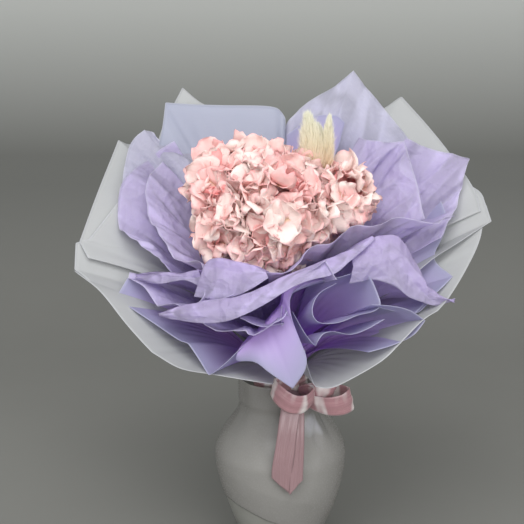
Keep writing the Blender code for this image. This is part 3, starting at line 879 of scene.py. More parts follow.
SHEETS: tuple[Sheet, ...] = (
    # frosted film, outermost
    Sheet(
        "film_back_left", "frosted", 9.0,
        ((-118, 72, 362), (-112, 94, 388), (-94, 124, 424), (-70, 113, 408), (-29, 107, 400),
         (12, 100, 380)),
        sharp=(2,), cut=(0.205, 0.25), flutes=(0.002, 1.5), seed=3,
    ),
    Sheet(
        "film_back_right", "frosted", 8.6,
        ((20, 112, 379), (76, 116, 388), (101, 120, 402), (118, 124, 414), (140, 94, 392), (160, 66, 366),
         (178, 42, 340), (182, 24, 324)),
        sharp=(3,), cut=(0.255, 0.25), flutes=(0.002, 1.5), seed=4,
    ),
    Sheet(
        "film_left", "frosted", 8.2,
        ((-96, 100, 377), (-138, 92, 373), (-153, 88, 379), (-168, 40, 338), (-181, 0, 300),
         (-172, -12, 288)),
        sharp=(2, 4), cut=(0.2, 0.235), flutes=(0.0015, 1.0), seed=5,
    ),
    Sheet(
        "film_left_fold", "frosted", 7.8,
        ((-128, 62, 356), (-142, 40, 338), (-172, 2, 303), (-184, -1, 300), (-183, -20, 281),
         (-176, -24, 277), (-163, -34, 268)),
        sharp=(2, 3, 4), cut=(0.16, 0.205), flutes=(0.001, 1.0), seed=6, rise=0.26,
    ),
    Sheet(
        "film_right", "frosted", 9.0,
        ((150, 56, 352), (181, 42, 340), (188, 29, 327), (191, 16, 315), (162, 0, 301), (134, -14, 287),
         (104, -36, 268)),
        sharp=(2, 3), cut=(0.185, 0.2), flutes=(0.001, 1.0), seed=7, rise=0.26,
    ),
    Sheet(
        "film_front_left", "frosted", 9.0,
        ((-183, -20, 281), (-158, -42, 264), (-133, -66, 246), (-110, -88, 227), (-86, -102, 216),
         (-60, -110, 213), (-34, -114, 211), (-8, -116, 210)),
        sharp=(3,), cut=(0.225, 0.14), flutes=(0.002, 2.0), seed=8, rise=0.22,
    ),
    Sheet(
        "film_front_right", "frosted", 9.0,
        ((19, -96, 232), (21, -104, 222), (27, -118, 208), (39, -119, 207), (54, -113, 211), (83, -98, 222),
         (99, -88, 233), (121, -69, 248), (135, -58, 254), (146, -42, 262), (169, -13, 287), (178, 0, 301),
         (182, 11, 311)),
        sharp=(2, 8), cut=(0.275, 0.145), flutes=(0.001, 2.0), seed=9, rise=0.22,
    ),
    # lavender film
    Sheet(
        "lavender_back_left", "pale", 7.0,
        ((-120, 66, 353), (-112, 84, 385), (-109, 103, 411), (-53, 103, 410), (-10, 101, 409), (2, 99, 403),
         (4, 88, 389)),
        sharp=(2,), cut=(0.205, 0.25), flutes=(0.0025, 1.2), seed=13,
    ),
    Sheet(
        "lavender_back_right", "lavender", 7.0,
        ((2, 94, 380), (40, 104, 398), (74, 96, 388), (98, 82, 372)),
        cut=(0.115, 0.235), flutes=(0.002, 1.2), seed=14,
    ),
    Sheet(
        "lavender_back_inner", "lavender", 5.2,
        ((6, 58, 388), (28, 64, 403), (50, 64, 405), (59, 62, 399), (54, 54, 380)),
        sharp=(3,), cut=(0.07, 0.24), flutes=(0.001, 1.0), seed=19, rise=0.5,
        replaces="lavender_back_right",
    ),
    Sheet(
        "lavender_right", "lavender", 7.0,
        ((142, 44, 342), (150, 10, 316), (137, -5, 288), (153, -20, 273), (141, -32, 265), (116, -54, 252)),
        sharp=(3,), cut=(0.16, 0.175), flutes=(0.002, 2.0), seed=15, rise=0.28,
    ),
    Sheet(
        "lavender_right_low", "lavender", 7.2,
        ((75, -89, 269), (92, -83, 266), (108, -76, 260), (123, -67, 248), (112, -76, 238), (94, -90, 234),
         (72, -98, 230)),
        sharp=(3,), cut=(0.12, 0.15), seed=16, rise=0.3,
    ),
    Sheet(
        "lavender_right_mid", "lavender", 6.8,
        ((135, -38, 264), (127, -46, 256), (117, -54, 251), (101, -68, 256), (80, -82, 265)),
        sharp=(1,), cut=(0.08, 0.15), seed=18, rise=0.3, replaces="lavender_right_low",
    ),
    Sheet(
        "lavender_front_left", "lavender", 6.6,
        ((-136, -24, 274), (-144, -36, 261), (-112, -62, 244), (-90, -80, 234), (-80, -88, 233),
         (-69, -98, 222), (-61, -113, 217), (-42, -110, 231), (-22, -104, 243)),
        sharp=(1, 4, 6), cut=(0.19, 0.135), flutes=(0.002, 2.0), seed=17, rise=0.26,
    ),
    # lavender film, folded or rolled
    Sheet(
        "lavender_front", "lavender", 6.0,
        ((-39, -107, 228), (-37, -109, 226), (-23, -120, 229), (-10, -128, 222), (8, -131, 210),
         (18, -126, 224), (19, -121, 235), (12, -114, 248), (4, -107, 261), (2, -102, 271), (6, -98, 280),
         (25, -89, 286), (45, -80, 288)),
        sharp=(4,), span=(236, 284), cut=(0.205, 0.16), seed=21, rise=0.6, bow=(0, -3, 2),
        ridge=((-37, -105, 234), (-23, -104, 247), (-10, -104, 262), (-1, -100, 272), (1, -97, 282),
               (8, -93, 288), (26, -86, 290), (45, -80, 290)),
    ),
    Sheet(
        "lavender_roll", "lavender", 5.0,
        ((22, -88, 288), (45, -84, 291), (64, -75, 293), (74, -71, 288), (80, -73, 276), (83, -79, 266),
         (76, -92, 264), (62, -106, 265), (46, -119, 263), (32, -125, 264), (25, -126, 269), (24, -121, 277),
         (30, -112, 286), (44, -101, 291)),
        span=(300, 288), cut=(0.205, 0.145), seed=22, rise=0.36, replaces="lavender_front_right",
    ),
    Sheet(
        "lavender_roll_low", "lavender", 6.4,
        ((8, -98, 266), (18, -113, 252), (26, -124, 245), (28, -129, 250), (33, -127, 256), (42, -122, 256),
         (56, -114, 251), (70, -103, 252), (86, -88, 256)),
        span=(276, 322), cut=(0.12, 0.135), seed=23, rise=0.3, replaces="lavender_front_right",
    ),
    # tissue, innermost
    Sheet(
        "tissue_back_right", "pale_tissue", 6.0,
        ((4, 96, 382), (10, 100, 395), (26, 110, 409), (71, 122, 441), (102, 106, 402), (120, 88, 382),
         (127, 74, 370)),
        sharp=(3,), cut=(0.2, 0.26), crumple=0.004, flutes=(0.002, 2.0), seed=31,
    ),
    Sheet(
        "tissue_back_left", "pale_tissue", 6.0,
        ((-147, 38, 330), (-145, 56, 357), (-141, 68, 377), (-127, 78, 392), (-116, 80, 391),
         (-99, 74, 375), (-84, 72, 370)),
        sharp=(3,), cut=(0.14, 0.24), crumple=0.0085, flutes=(0.003, 2.0), seed=32,
    ),
    Sheet(
        "tissue_right", "tissue", 5.0,
        ((117, 66, 382), (152, 56, 374), (174, 50, 369), (162, 28, 345), (158, 16, 331), (150, 6, 318),
         (138, -8, 306)),
        sharp=(2,), cut=(0.16, 0.235), crumple=0.008, flutes=(0.002, 2.0), seed=33,
    ),
    Sheet(
        "tissue_left", "tissue", 5.0,
        ((-100, 74, 376), (-118, 66, 370), (-141, 45, 350), (-148, 32, 337), (-146, 8, 312),
         (-141, -2, 306), (-126, -16, 296), (-98, -38, 286), (-80, -58, 284)),
        cut=(0.2, 0.195), crumple=0.0085, flutes=(0.003, 2.5), seed=34, rise=0.38,
    ),
    Sheet(
        "tissue_right_inner", "tissue", 4.0,
        ((74, 62, 384), (100, 44, 384), (113, 46, 384), (118, 25, 367), (124, 2, 342), (126, -14, 326)),
        sharp=(2,), cut=(0.13, 0.22), crumple=0.008, flutes=(0.003, 2.0), seed=35, rise=0.4,
    ),
    Sheet(
        "tissue_front_right", "tissue", 4.0,
        ((55, -78, 285), (77, -70, 285), (94, -66, 279), (108, -62, 268), (122, -56, 261), (134, -50, 256),
         (152, -40, 256)),
        cut=(0.15, 0.2), crumple=0.004, seed=36, rise=0.5, bow=(2, -6, 4),
        ridge=((59, -70, 301), (78, -52, 316), (90, -45, 319), (99, -42, 317), (106, -42, 311),
               (112, -44, 302), (119, -48, 287), (126, -48, 273), (150, -40, 258)),
    ),
    Sheet(
        "tissue_front_low", "tissue", 4.0,
        ((-135, -25, 277), (-136, -30, 272), (-116, -46, 268), (-94, -72, 262), (-64, -98, 256),
         (-34, -114, 250), (-24, -124, 252), (2, -125, 262), (6, -120, 272)),
        sharp=(1, 6), cut=(0.2, 0.145), crumple=0.007, flutes=(0.002, 2.0), seed=37, rise=0.4,
    ),
    Sheet(
        "tissue_left_inner", "tissue", 3.0,
        ((-108, 52, 366), (-120, 34, 354), (-121, 12, 338), (-110, -20, 320), (-92, -45, 309),
         (-77, -64, 300), (-66, -78, 292)),
        cut=(0.17, 0.185), crumple=0.008, flutes=(0.003, 2.5), seed=38, rise=0.44,
    ),
    Sheet(
        "tissue_front", "tissue", 3.0,
        ((-14, -100, 298), (2, -104, 301), (13, -100, 308), (22, -92, 319), (39, -80, 322), (53, -70, 324),
         (80, -50, 325), (103, -32, 326), (141, -6, 323), (156, 0, 322)),
        cut=(0.22, 0.18), crumple=0.005, flutes=(0.002, 3.0), seed=39, rise=0.46,
    ),
    Sheet(
        "tissue_front_left", "tissue", 2.0,
        ((-104, -73, 255), (-75, -96, 256), (-54, -108, 259), (-37, -116, 266), (-16, -120, 278),
         (5, -118, 291), (20, -112, 296), (42, -98, 298), (56, -84, 305), (70, -66, 312), (79, -54, 317)),
        cut=(0.24, 0.19), crumple=0.002, flutes=(0.0005, 2.0), seed=40, rise=0.55, bow=(0, -4, 1),
        ridge=((-103, -71, 256), (-89, -84, 265), (-66, -97, 275), (-39, -106, 282), (-21, -110, 289),
               (-6, -110, 296), (12, -104, 303), (32, -92, 307), (59, -70, 311), (78, -52, 317)),
    ),
    Sheet(
        "tissue_peak", "tissue", 2.4,
        ((8, -114, 297), (24, -107, 303), (35, -98, 309), (44, -105, 295)),
        sharp=(2,), cut=(0.06, 0.17), crumple=0.002, seed=42, rise=0.5, replaces="tissue_front",
    ),
    Sheet(
        "tissue_under_flower", "tissue", 1.0,
        ((-74, -82, 274), (-56, -94, 275), (-40, -102, 280), (-26, -108, 288), (-12, -110, 298)),
        cut=(0.085, 0.2), crumple=0.001, flutes=(0.0005, 2.0), seed=41, rise=0.6, bow=(0, -2, 1),
        ridge=((-66, -80, 299), (-59, -84, 307), (-48, -92, 308), (-31, -98, 307), (-21, -103, 305),
               (-14, -106, 302)),
    ),
    Sheet(
        "tissue_left_fold", "tissue", 3.4,
        ((-135, -26, 274), (-109, -46, 275), (-84, -66, 284), (-69, -79, 283)),
        cut=(0.09, 0.19), crumple=0.002, seed=43, rise=0.42, bow=(0, -3, 0), replaces="tissue_left",
        ridge=((-135, -23, 276), (-114, -40, 285), (-84, -62, 290), (-71, -74, 296)),
    ),
    Sheet(
        "tissue_window_fold", "tissue", 3.0,
        ((-83, -64, 285), (-71, -80, 283), (-65, -88, 279), (-71, -92, 271), (-82, -88, 265)),
        cut=(0.05, 0.15), crumple=0.001, seed=44, rise=0.4, replaces="tissue_left_inner",
    ),
    Sheet(
        "tissue_mid_fold", "tissue", 2.6,
        ((-70, -78, 290), (-54, -90, 288), (-36, -100, 284), (-50, -103, 278), (-67, -98, 273)),
        sharp=(2,), cut=(0.08, 0.16), crumple=0.001, seed=45, rise=0.45, replaces="tissue_left_inner",
    ),
    Sheet(
        "tissue_facet", "tissue", 3.2,
        ((-36, -110, 262), (-14, -116, 256), (2, -119, 259), (1, -112, 275)),
        sharp=(2,), cut=(0.06, 0.15), crumple=0.004, seed=46, rise=0.45, replaces="tissue_front_low",
    ),
)


@dataclass
class Wrapping:
    """All the sheets of the wrap, from the outermost film to the innermost tissue."""

    sheets: tuple[Sheet, ...] = SHEETS

    def build(self) -> None:
        """Makes every sheet in its finish."""
        finishes = {
            "frosted": (FROSTED.build(), "frosted_film"),
            "lavender": (LAVENDER.build(), "lavender_film"),
            "pale": (PALE_LAVENDER.build(), "lavender_film"),
            "tissue": (TISSUE.build(), "tissue"),
            "pale_tissue": (PALE_TISSUE.build(), "tissue"),
        }
        for sheet in self.sheets:
            sheet.build(*finishes[sheet.finish])


# ---------------------------------------------------------------- jar


def lathe(name: str, profile: np.ndarray, columns: int) -> bpy.types.Object:
    """Turns a profile of (radius, height) round the Z axis.

    Args:
        name: the piece's name.
        profile: points from the foot's centre, up the outside and down the inside to the centre.
        columns: how many copies of the profile stand round the axis.
    Returns:
        A closed body. The profile's two ends are single points on the axis.
    """
    turn = np.linspace(0, 2 * np.pi, columns, endpoint=False)
    radius, height = profile[1:-1, :1], profile[1:-1, 1:]
    ring = np.stack([radius * np.cos(turn), radius * np.sin(turn), np.repeat(height, columns, 1)], -1)
    points = np.vstack([ring.reshape(-1, 3), [[0, 0, profile[0, 1]], [0, 0, profile[-1, 1]]]])
    return add_mesh(name, points, *turned_faces(len(radius), columns))


@dataclass
class Jar:
    """The glass jar: an open vase shape with a round lip."""

    height: float = 0.156
    foot: float = 0.0345
    waist: float = 0.0325
    waist_height: float = 0.009
    belly: float = 0.0575
    belly_height: float = 0.0998
    neck: float = 0.0345
    neck_height: float = 0.150
    rim: float = 0.0360
    wall: float = 0.0035
    floor: float = 0.009

    def radius(self, z: np.ndarray) -> np.ndarray:
        """Joins the foot, waist, belly, neck and rim by curves.

        Args:
            z: heights.
        Returns:
            The outer radius at each height.
        """
        low = self.foot + (self.waist - self.foot) * np.clip(z / self.waist_height, 0, 1)
        up = np.clip((z - self.waist_height) / (self.belly_height - self.waist_height), 0, 1)
        down = np.clip((z - self.belly_height) / (self.neck_height - self.belly_height), 0, 1)
        flare = np.clip((z - self.neck_height) / (self.height - self.neck_height), 0, 1)
        body = self.waist + (self.belly - self.waist) * np.sin(up * np.pi / 2)
        neck = self.belly + (self.neck - self.belly) * down * down * (3 - 2 * down)
        lip = self.neck + (self.rim - self.neck) * flare
        above = np.where(z < self.belly_height, body, np.maximum(neck, lip))
        return np.where(z < self.waist_height, low, above)

    def build(self) -> None:
        """Makes the glass."""
        z = np.r_[0.0008, np.linspace(0.003, self.height - 0.002, 56)]
        outer = np.stack([self.radius(z), z], 1)
        outer[0, 0] = self.foot - 0.0012
        bend = np.linspace(0, np.pi, 9)
        middle = self.rim - self.wall / 2
        crown = self.height - 0.0018 + 0.0018 * np.sin(bend)
        lip = np.stack([middle + self.wall / 2 * np.cos(bend), crown], 1)
        inside = np.linspace(self.height - 0.004, self.floor + 0.006, 44)
        inner = np.stack([self.radius(inside) - self.wall, inside], 1)
        edge = [self.waist - self.wall - 0.002, self.floor + 0.001]
        base = np.array([edge, [0.012, self.floor], [0.0, self.floor]])
        under = np.array([[0.0, 0.0], [self.foot * 0.5, 0.0], [self.foot - 0.002, 0.0]])
        jar = lathe("glass_jar", np.vstack([under, outer, lip, inner, base]), 120)
        dress(jar, GlassFinish().build())
        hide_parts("jar")


@dataclass
class FilmSkirt:
    """The film over the jar: loose round the belly, straight up past the rim, cut at a slant below."""

    jar: Jar
    loose: float = 0.0030
    top: float = 0.1750
    front_top: float = 0.1575  # how high it is in front, where the ribbon comes out
    front_azimuth: float = 291.0
    edge_height: float = 0.040
    edge_rise: float = 0.022
    edge_azimuth: float = 200.0
    edge_wave: float = 0.0012
    least: float = 0.0010  # how near it comes to the glass
    swell: float = 0.0022  # how far it stands off more at the jar's shoulder
    swell_height: float = 0.126
    crumple: float = 0.0028  # height of the creases
    shoulder_turn: float = 5.50  # where the crisp creases are: azimuth in radians
    shoulder_height: float = 0.138
    grid: tuple[int, int] = (260, 90)

    def build(self) -> None:
        """Makes the film.

        Its radius is the jar's plus a slack that a few broad folds and fine creases change. Its
        upper edge dips in front, and its lower edge is cut at a slant.
        """
        columns, rows = self.grid
        turn = np.linspace(0, 2 * np.pi, columns, endpoint=False)[:, None]
        low = self.edge_height + self.edge_rise * np.cos(turn - math.radians(self.edge_azimuth))
        low = low + self.edge_wave * np.sin(5 * turn + 1.0)
        front = np.clip((np.cos(turn - math.radians(self.front_azimuth)) - 0.88) / 0.08, 0, 1)
        high = self.top + (self.front_top - self.top) * front * front * (3 - 2 * front)
        z = low + (high - low) * np.linspace(0, 1, rows)[None, :]
        loose = self.loose * (0.4 + 0.6 * np.clip((z - low) / 0.03, 0, 1))
        shoulder = self.swell * np.exp(-(((z - self.swell_height) / 0.013) ** 2))
        radius = self.jar.radius(np.minimum(z, self.jar.height - 0.002)) + loose + shoulder
        creases, slack = self.slack(turn, z)
        radius = np.maximum(radius + slack, self.jar.radius(z) + self.least)
        points = np.stack([radius * np.cos(turn), radius * np.sin(turn), z], -1)
        skirt = add_mesh("film_over_jar", points.reshape(-1, 3), ring_faces(columns, rows))
        add_uv(skirt, np.stack([np.broadcast_to(turn * self.jar.belly, z.shape), z], -1))
        bend = np.abs(np.gradient(np.gradient(creases, axis=0), axis=0))
        add_attributes(
            skirt,
            # painted highlight along the bends of the creases
            crease=np.clip(bend * 6, 0, 1),
            # painted light and shade by the slope of each crease facet
            lean=np.clip(5 * np.gradient(creases, axis=0), -1, 1),
            reach=0.9 - 0.5 * (z - low) / (high - low),
            # pale marks the bright shoulder facets, where the finish paints a highlight
            pale=np.clip(1.3 * creases, 0, 1),
        )
        solidify(skirt, FILM_THICKNESS)
        # painted shade: the darker copy of the frosted film
        dress(skirt, SHADED_SKIRT_FILM.build())
        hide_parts("film_skirt")

    def slack(self, turn: np.ndarray, z: np.ndarray) -> tuple[np.ndarray, np.ndarray]:
        """Works out the film's creases: crisp facets on its right shoulder, faint ones elsewhere.

        Args:
            turn: azimuth of each column, in radians.
            z: height of each point.
        Returns:
            The creases' height as a share, and how far the film stands off because of them.
        """
        around, up = turn * self.jar.belly / 0.034, z / 0.040
        creases = facets(around * 1.5, up * 1.5, 10) + 0.5 * facets(around * 3.2, up * 3.2, 11)
        near = ((turn - self.shoulder_turn) / 0.34) ** 2
        shoulder = np.exp(-near - ((z - self.shoulder_height) / 0.011) ** 2)
        folds = np.sin(9 * turn + 4 * np.sin(2 * turn)) * np.clip((z - 0.11) / 0.04, 0, 1)
        share = 0.10 + shoulder
        return creases * share, self.crumple * creases * share + 0.0004 * folds


# ---------------------------------------------------------------- flowers


@dataclass(frozen=True)
class Lobe:
    """One rounded part of the flower head."""

    centre: Point
    radius: float
    spacing: float = 0.0125


@dataclass
class HydrangeaHead:
    """The head: florets of four broad, ruffled sepals over the lobes of the head."""

    lobes: tuple[Lobe, ...] = (
        Lobe((-0.046, -0.028, 0.355), 0.025),
        Lobe((-0.019, -0.020, 0.363), 0.023),
        Lobe((0.050, -0.023, 0.347), 0.021),
        Lobe((-0.014, -0.052, 0.320), 0.023),
        Lobe((-0.046, -0.044, 0.328), 0.020),
        Lobe((-0.006, -0.050, 0.344), 0.032),
        Lobe((0.017, -0.050, 0.332), 0.018),
        Lobe((0.000, -0.060, 0.318), 0.017),
        Lobe((0.018, -0.016, 0.342), 0.034),
        Lobe((-0.032, -0.034, 0.342), 0.032),
    )
    sepal: float = 0.0165  # length in metres
    lowest: float = 0.299
    inner: float = 0.012  # how far below the surface the deeper florets sit
    overlap: float = 0.003  # how far into another lobe a floret may stand
    scatter: float = 0.0022  # how far a floret strays from its place
    tilt: float = 0.55  # how far it turns from the way that it faces
    grid: tuple[int, int] = (7, 6)  # points across and along a sepal
    sizes: tuple[Range, Range] = ((0.82, 1.18), (0.9, 1.1))  # of a floret, then of each of its sepals
    cups: tuple[Range, Range] = ((-0.05, 0.65), (-0.30, 0.35))  # how a floret and each sepal lifts
    sides: Range = (-0.35, 0.60)  # how a sepal's sides lift
    ruffles: Range = (0.06, 0.15)
    seed: int = 11

    def places(self) -> tuple[np.ndarray, np.ndarray, np.ndarray]:
        """Spreads florets evenly over the lobes' outer surface, and a few deeper ones.

        Each lobe's sphere holds points on a Fibonacci spiral. A point stays where it is outside
        every other lobe.

        Returns:
            The florets' centres, the ways that they face, and how deep each sits, from 0 to 1.
        """
        centres, ways, depths = [], [], []
        for shrink, depth in ((0.0, 0.0), (self.inner, 0.75)):
            for lobe in self.lobes:
                radius = lobe.radius - shrink
                count = int(4 * math.pi * radius**2 / lobe.spacing**2)
                k = np.arange(count) + 0.5
                up = 1 - 2 * k / count
                turn, flat = k * GOLDEN_TURN, np.sqrt(1 - up**2)
                way = np.stack([flat * np.cos(turn), flat * np.sin(turn), up], 1)
                here = np.array(lobe.centre) + way * radius
                keep = here[:, 2] > self.lowest
                for other in self.lobes:
                    if other is not lobe:
                        away = np.linalg.norm(here - np.array(other.centre), axis=1)
                        keep &= away > other.radius - shrink - self.overlap
                centres.append(here[keep])
                ways.append(way[keep])
                depths.append(np.full(keep.sum(), depth))
        return np.vstack(centres), np.vstack(ways), np.concatenate(depths)

    def florets(
        self, centres: np.ndarray, ways: np.ndarray, rng: np.random.Generator
    ) -> tuple[np.ndarray, np.ndarray]:
        """Works out four sepals for each floret.

        Along a sepal, v goes from 0 at the heart to 1 at the tip, and across it, u from -1 to 1.
        Its half width follows the sine of v to a low power, so that it is broad and blunt. It
        lifts from the floret's plane with the square of v times a cup that differs from sepal to
        sepal, its sides lift with the square of u, and its edge ruffles as a wave.

        Args:
            centres: the florets' centres.
            ways: the ways that they face.
            rng: the source of the differences.
        Returns:
            Points as florets by sepals by across by along by 3, and v at each.
        """
        count, (nu, nv) = len(centres), self.grid
        floret, sepal = (count, 1, 1, 1), (count, 4, 1, 1)
        u = np.linspace(-1, 1, nu)[:, None]
        v = np.linspace(0.0, 1.0, nv)[None, :] ** ROW_POWER
        size = self.sepal * rng.uniform(*self.sizes[0], floret) * rng.uniform(*self.sizes[1], sepal)
        wide = 0.74 * np.sin(np.pi * np.clip(v * 0.80 + 0.07, 0, 1)) ** 0.70
        cup = rng.uniform(*self.cups[0], floret) + rng.uniform(*self.cups[1], sepal)
        side = rng.uniform(*self.sides, sepal)
        ruffle = rng.uniform(*self.ruffles, sepal)
        phase = rng.uniform(*PHASES, sepal)
        across = size * wide * u * (1 - 0.10 * v)
        along = size * (v - 0.24 * v**2 * u**2) * (1 - 0.22 * np.abs(cup) * v)
        fold = side * np.abs(u) ** 1.4 * wide
        lift = size * (cup * v**2 + fold * v + ruffle * np.sin(4.2 * u + 6 * v + phase) * v)
        lift = lift + size * 0.06 * (np.arange(4) % 2)[None, :, None, None]
        turn = np.arange(4) * np.pi / 2 + rng.uniform(-0.14, 0.14, (count, 4))
        turn = turn + rng.uniform(*PHASES, (count, 1))
        cos, sin = np.cos(turn)[..., None, None], np.sin(turn)[..., None, None]
        flat_x, flat_y = along * cos - across * sin, along * sin + across * cos
        face = unit(ways + rng.normal(0, self.tilt, ways.shape))
        first = unit(np.cross(face, rng.normal(0, 1, ways.shape)))
        second = np.cross(face, first)
        points = (
            centres[:, None, None, None]
            + flat_x[..., None] * first[:, None, None, None]
            + flat_y[..., None] * second[:, None, None, None]
            + lift[..., None] * face[:, None, None, None]
        )
        return points, np.broadcast_to(v, points.shape[:-1])

    def build(self, finish: bpy.types.Material) -> None:
        """Makes one piece for each cluster of the model, with the florets that are nearest to it.

        Args:
            finish: the petals' material.
        """
        rng = np.random.default_rng(self.seed)
        centres, ways, depth = self.places()
        centres = centres + rng.normal(0, self.scatter, centres.shape)
        names = [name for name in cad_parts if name.startswith("floret_cluster")]
        middles = np.array([np.mean(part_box(name), axis=0) for name in names])
        nearest = np.argmin(np.linalg.norm(centres[:, None] - middles[None], axis=2), axis=1)
        points, along = self.florets(centres, ways, rng)
        tint = rng.uniform(0, 1, len(centres))
        for number, name in enumerate(names):
            mine = nearest == number
            if mine.any():
                self.cluster(name, points[mine], along[mine], tint[mine], depth[mine], finish)

    def inside(self, points: np.ndarray) -> np.ndarray:
        """Works out how far in among the petals points lie.

        Args:
            points: an array whose last axis holds x, y and z.
        Returns:
            0 at the outermost tips, up to 1 at the lobes' surface.
        """
        away = [
            np.linalg.norm(points - np.array(lobe.centre), axis=-1) - lobe.radius for lobe in self.lobes
        ]
        return np.clip(1 - (np.min(away, axis=0) + 0.002) / 0.010, 0, 1)

    def cluster(
        self, node: str, points: np.ndarray, along: np.ndarray, tint: np.ndarray, depth: np.ndarray,
        finish: bpy.types.Material,
    ) -> None:
        """Makes the piece of one cluster.

        Args:
            node: the model's solid that it stands for.
            points: the sepals' points.
            along: how far along its sepal each point is.
            tint: one value a floret.
            depth: how deep each floret sits.
            finish: the petals' material.
        """
        count, sepals, nu, nv = along.shape
        starts = np.arange(count * sepals)[:, None, None] * nu * nv
        faces = (grid_faces(nu, nv)[None] + starts).reshape(-1, 4)
        piece = add_mesh(node.replace("floret_cluster", "florets"), points.reshape(-1, 3), faces)
        each, every = (slice(None), None, None, None), np.ones_like(along)
        # depth and inside drive the painted shade of deeper pink
        add_attributes(
            piece, along=along, tint=tint[each] * every, depth=depth[each] * every, inside=self.inside(points)
        )
        u = np.linspace(-1, 1, nu)[:, None] * every
        add_uv(piece, np.stack([u + 3 * tint[each], along], -1))
        solidify(piece, SEPAL_THICKNESS)
        dress(piece, finish)
        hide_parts(node)


@dataclass(frozen=True)
class BunnyTail:
    """One grass head: a soft body of fine hairs that sweep up to its tip."""

    node: str
    foot: Point
    tip: Point
    radius: float
    hairs: int = 3600
    length: float = 0.014
    seed: int = 1
    half: float = 0.00021  # half a hair's width
    core_grid: tuple[int, int] = (16, 14)

    def build(self, finish: bpy.types.Material) -> None:
        """Makes the hairs.

        Their roots lie on a spiral over a body whose radius follows a skewed sine. Each hair
        leaves outwards and bends to the head's own direction, and narrows to a point.

        Args:
            finish: the hairs' material.
        """
        rng = np.random.default_rng(self.seed)
        foot, tip = np.array(self.foot), np.array(self.tip)
        axis = unit(tip - foot)
        side = unit(np.cross(axis, [0.0, 1.0, 0.2]))
        other = np.cross(axis, side)
        long = np.linalg.norm(tip - foot)
        k = np.arange(self.hairs) + 0.5
        share = (k / self.hairs) ** 0.85
        turn = k * GOLDEN_TURN
        swell = np.sin(np.pi * np.clip(0.10 + 0.86 * share**0.72, 0, 1)) ** 0.8
        out = np.cos(turn)[:, None] * side + np.sin(turn)[:, None] * other
        root = foot + axis * (share * 0.84 * long)[:, None] + out * (self.radius * 0.52 * swell)[:, None]
        size = self.length * rng.uniform(0.7, 1.25, self.hairs) * (1 - 0.38 * share**2)
        lean = (0.60 * (1 - 1.25 * share**1.4))[:, None]
        way = unit(out * lean + axis + rng.normal(0, 0.15, out.shape))
        middle = root + way * (size * 0.5)[:, None] + out * (self.radius * 0.10)
        end = middle + unit(way + axis * 0.35) * (size * 0.5)[:, None]
        wide = unit(np.cross(way, rng.normal(0, 1, out.shape))) * self.half
        slim = wide * 0.8
        points = np.stack([root - wide, root + wide, middle + slim, middle - slim, end], 1)
        first = np.arange(self.hairs)[:, None] * 5
        piece = add_mesh(f"{self.node}_hairs", points.reshape(-1, 3), first + [0, 1, 2, 3], first + [3, 2, 4])
        high = np.repeat(share[:, None], 5, 1) + np.array([0, 0, 0.1, 0.1, 0.22])
        tint = np.repeat(rng.uniform(0, 1, self.hairs)[:, None], 5, 1)
        add_attributes(piece, along=np.clip(high / 1.15, 0, 1), tint=tint)
        dress(piece, finish)
        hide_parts(self.node)
        self.core(finish, foot, axis * long, side, other)

    def core(
        self, finish: bpy.types.Material, foot: np.ndarray, axis: np.ndarray, side: np.ndarray,
        other: np.ndarray,
    ) -> None:
        """Makes the slim body under the hairs, as a turned shape along the head's axis.

        Args:
            finish: the hairs' material.
            foot: the head's lowest point.
            axis: from the foot to the tip.
            side: a direction across the axis.
            other: the direction across both.
        """
        rings, columns = self.core_grid
        share = np.linspace(0, 1, rings)
        swell = 0.55 * self.radius * np.sin(np.pi * np.clip(0.06 + 0.93 * share**0.75, 0, 1)) ** 0.8
        turn = np.linspace(0, 2 * np.pi, columns, endpoint=False)
        ring = np.cos(turn)[None, :, None] * side + np.sin(turn)[None, :, None] * other
        points = foot + axis * (share * 0.86)[:, None, None] + ring * swell[:, None, None]
        points = np.vstack([points.reshape(-1, 3), [foot, foot + axis * 0.87]])
        piece = add_mesh(f"{self.node}_core", points, *turned_faces(rings, columns))
        along = np.r_[np.repeat(share, columns), 0.0, 1.0]
        add_attributes(piece, along=along, tint=np.full(len(points), 0.2))
        dress(piece, finish)


@dataclass
class Flowers:
    """The flower head, the grass heads and their stems."""

    head: HydrangeaHead = field(default_factory=HydrangeaHead)
    tails: tuple[BunnyTail, ...] = (
        BunnyTail("bunny_tail_left", (0.029, -0.026, 0.366), (0.022, -0.004, 0.421), 0.0110),
        BunnyTail(
            "bunny_tail_middle", (0.033, -0.012, 0.371), (0.032, 0.006, 0.408), 0.0080, 2600, 0.011, seed=2
        ),
        BunnyTail(
            "bunny_tail_right", (0.037, -0.022, 0.370), (0.042, -0.006, 0.420), 0.0056, 2200, 0.010, seed=3
        ),
    )

    def build(self) -> None:
        """Makes the heads and dresses the stems that the model already has."""
        self.head.build(PetalFinish().build())
        grass = GrassFinish().build()
        for tail in self.tails:
            tail.build(grass)
        stem = StemFinish().build()
        for node in ("hydrangea_stem", *(f"{tail.node}_stem" for tail in self.tails)):
            re_dress(node, stem)
        re_dress("stem_tie", TwineFinish().build())


def re_dress(node: str, finish: bpy.types.Material) -> None:
    """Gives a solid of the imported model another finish."""
    for slot in bpy.data.objects[node].material_slots:
        slot.material = finish


# ---------------------------------------------------------------- ribbon


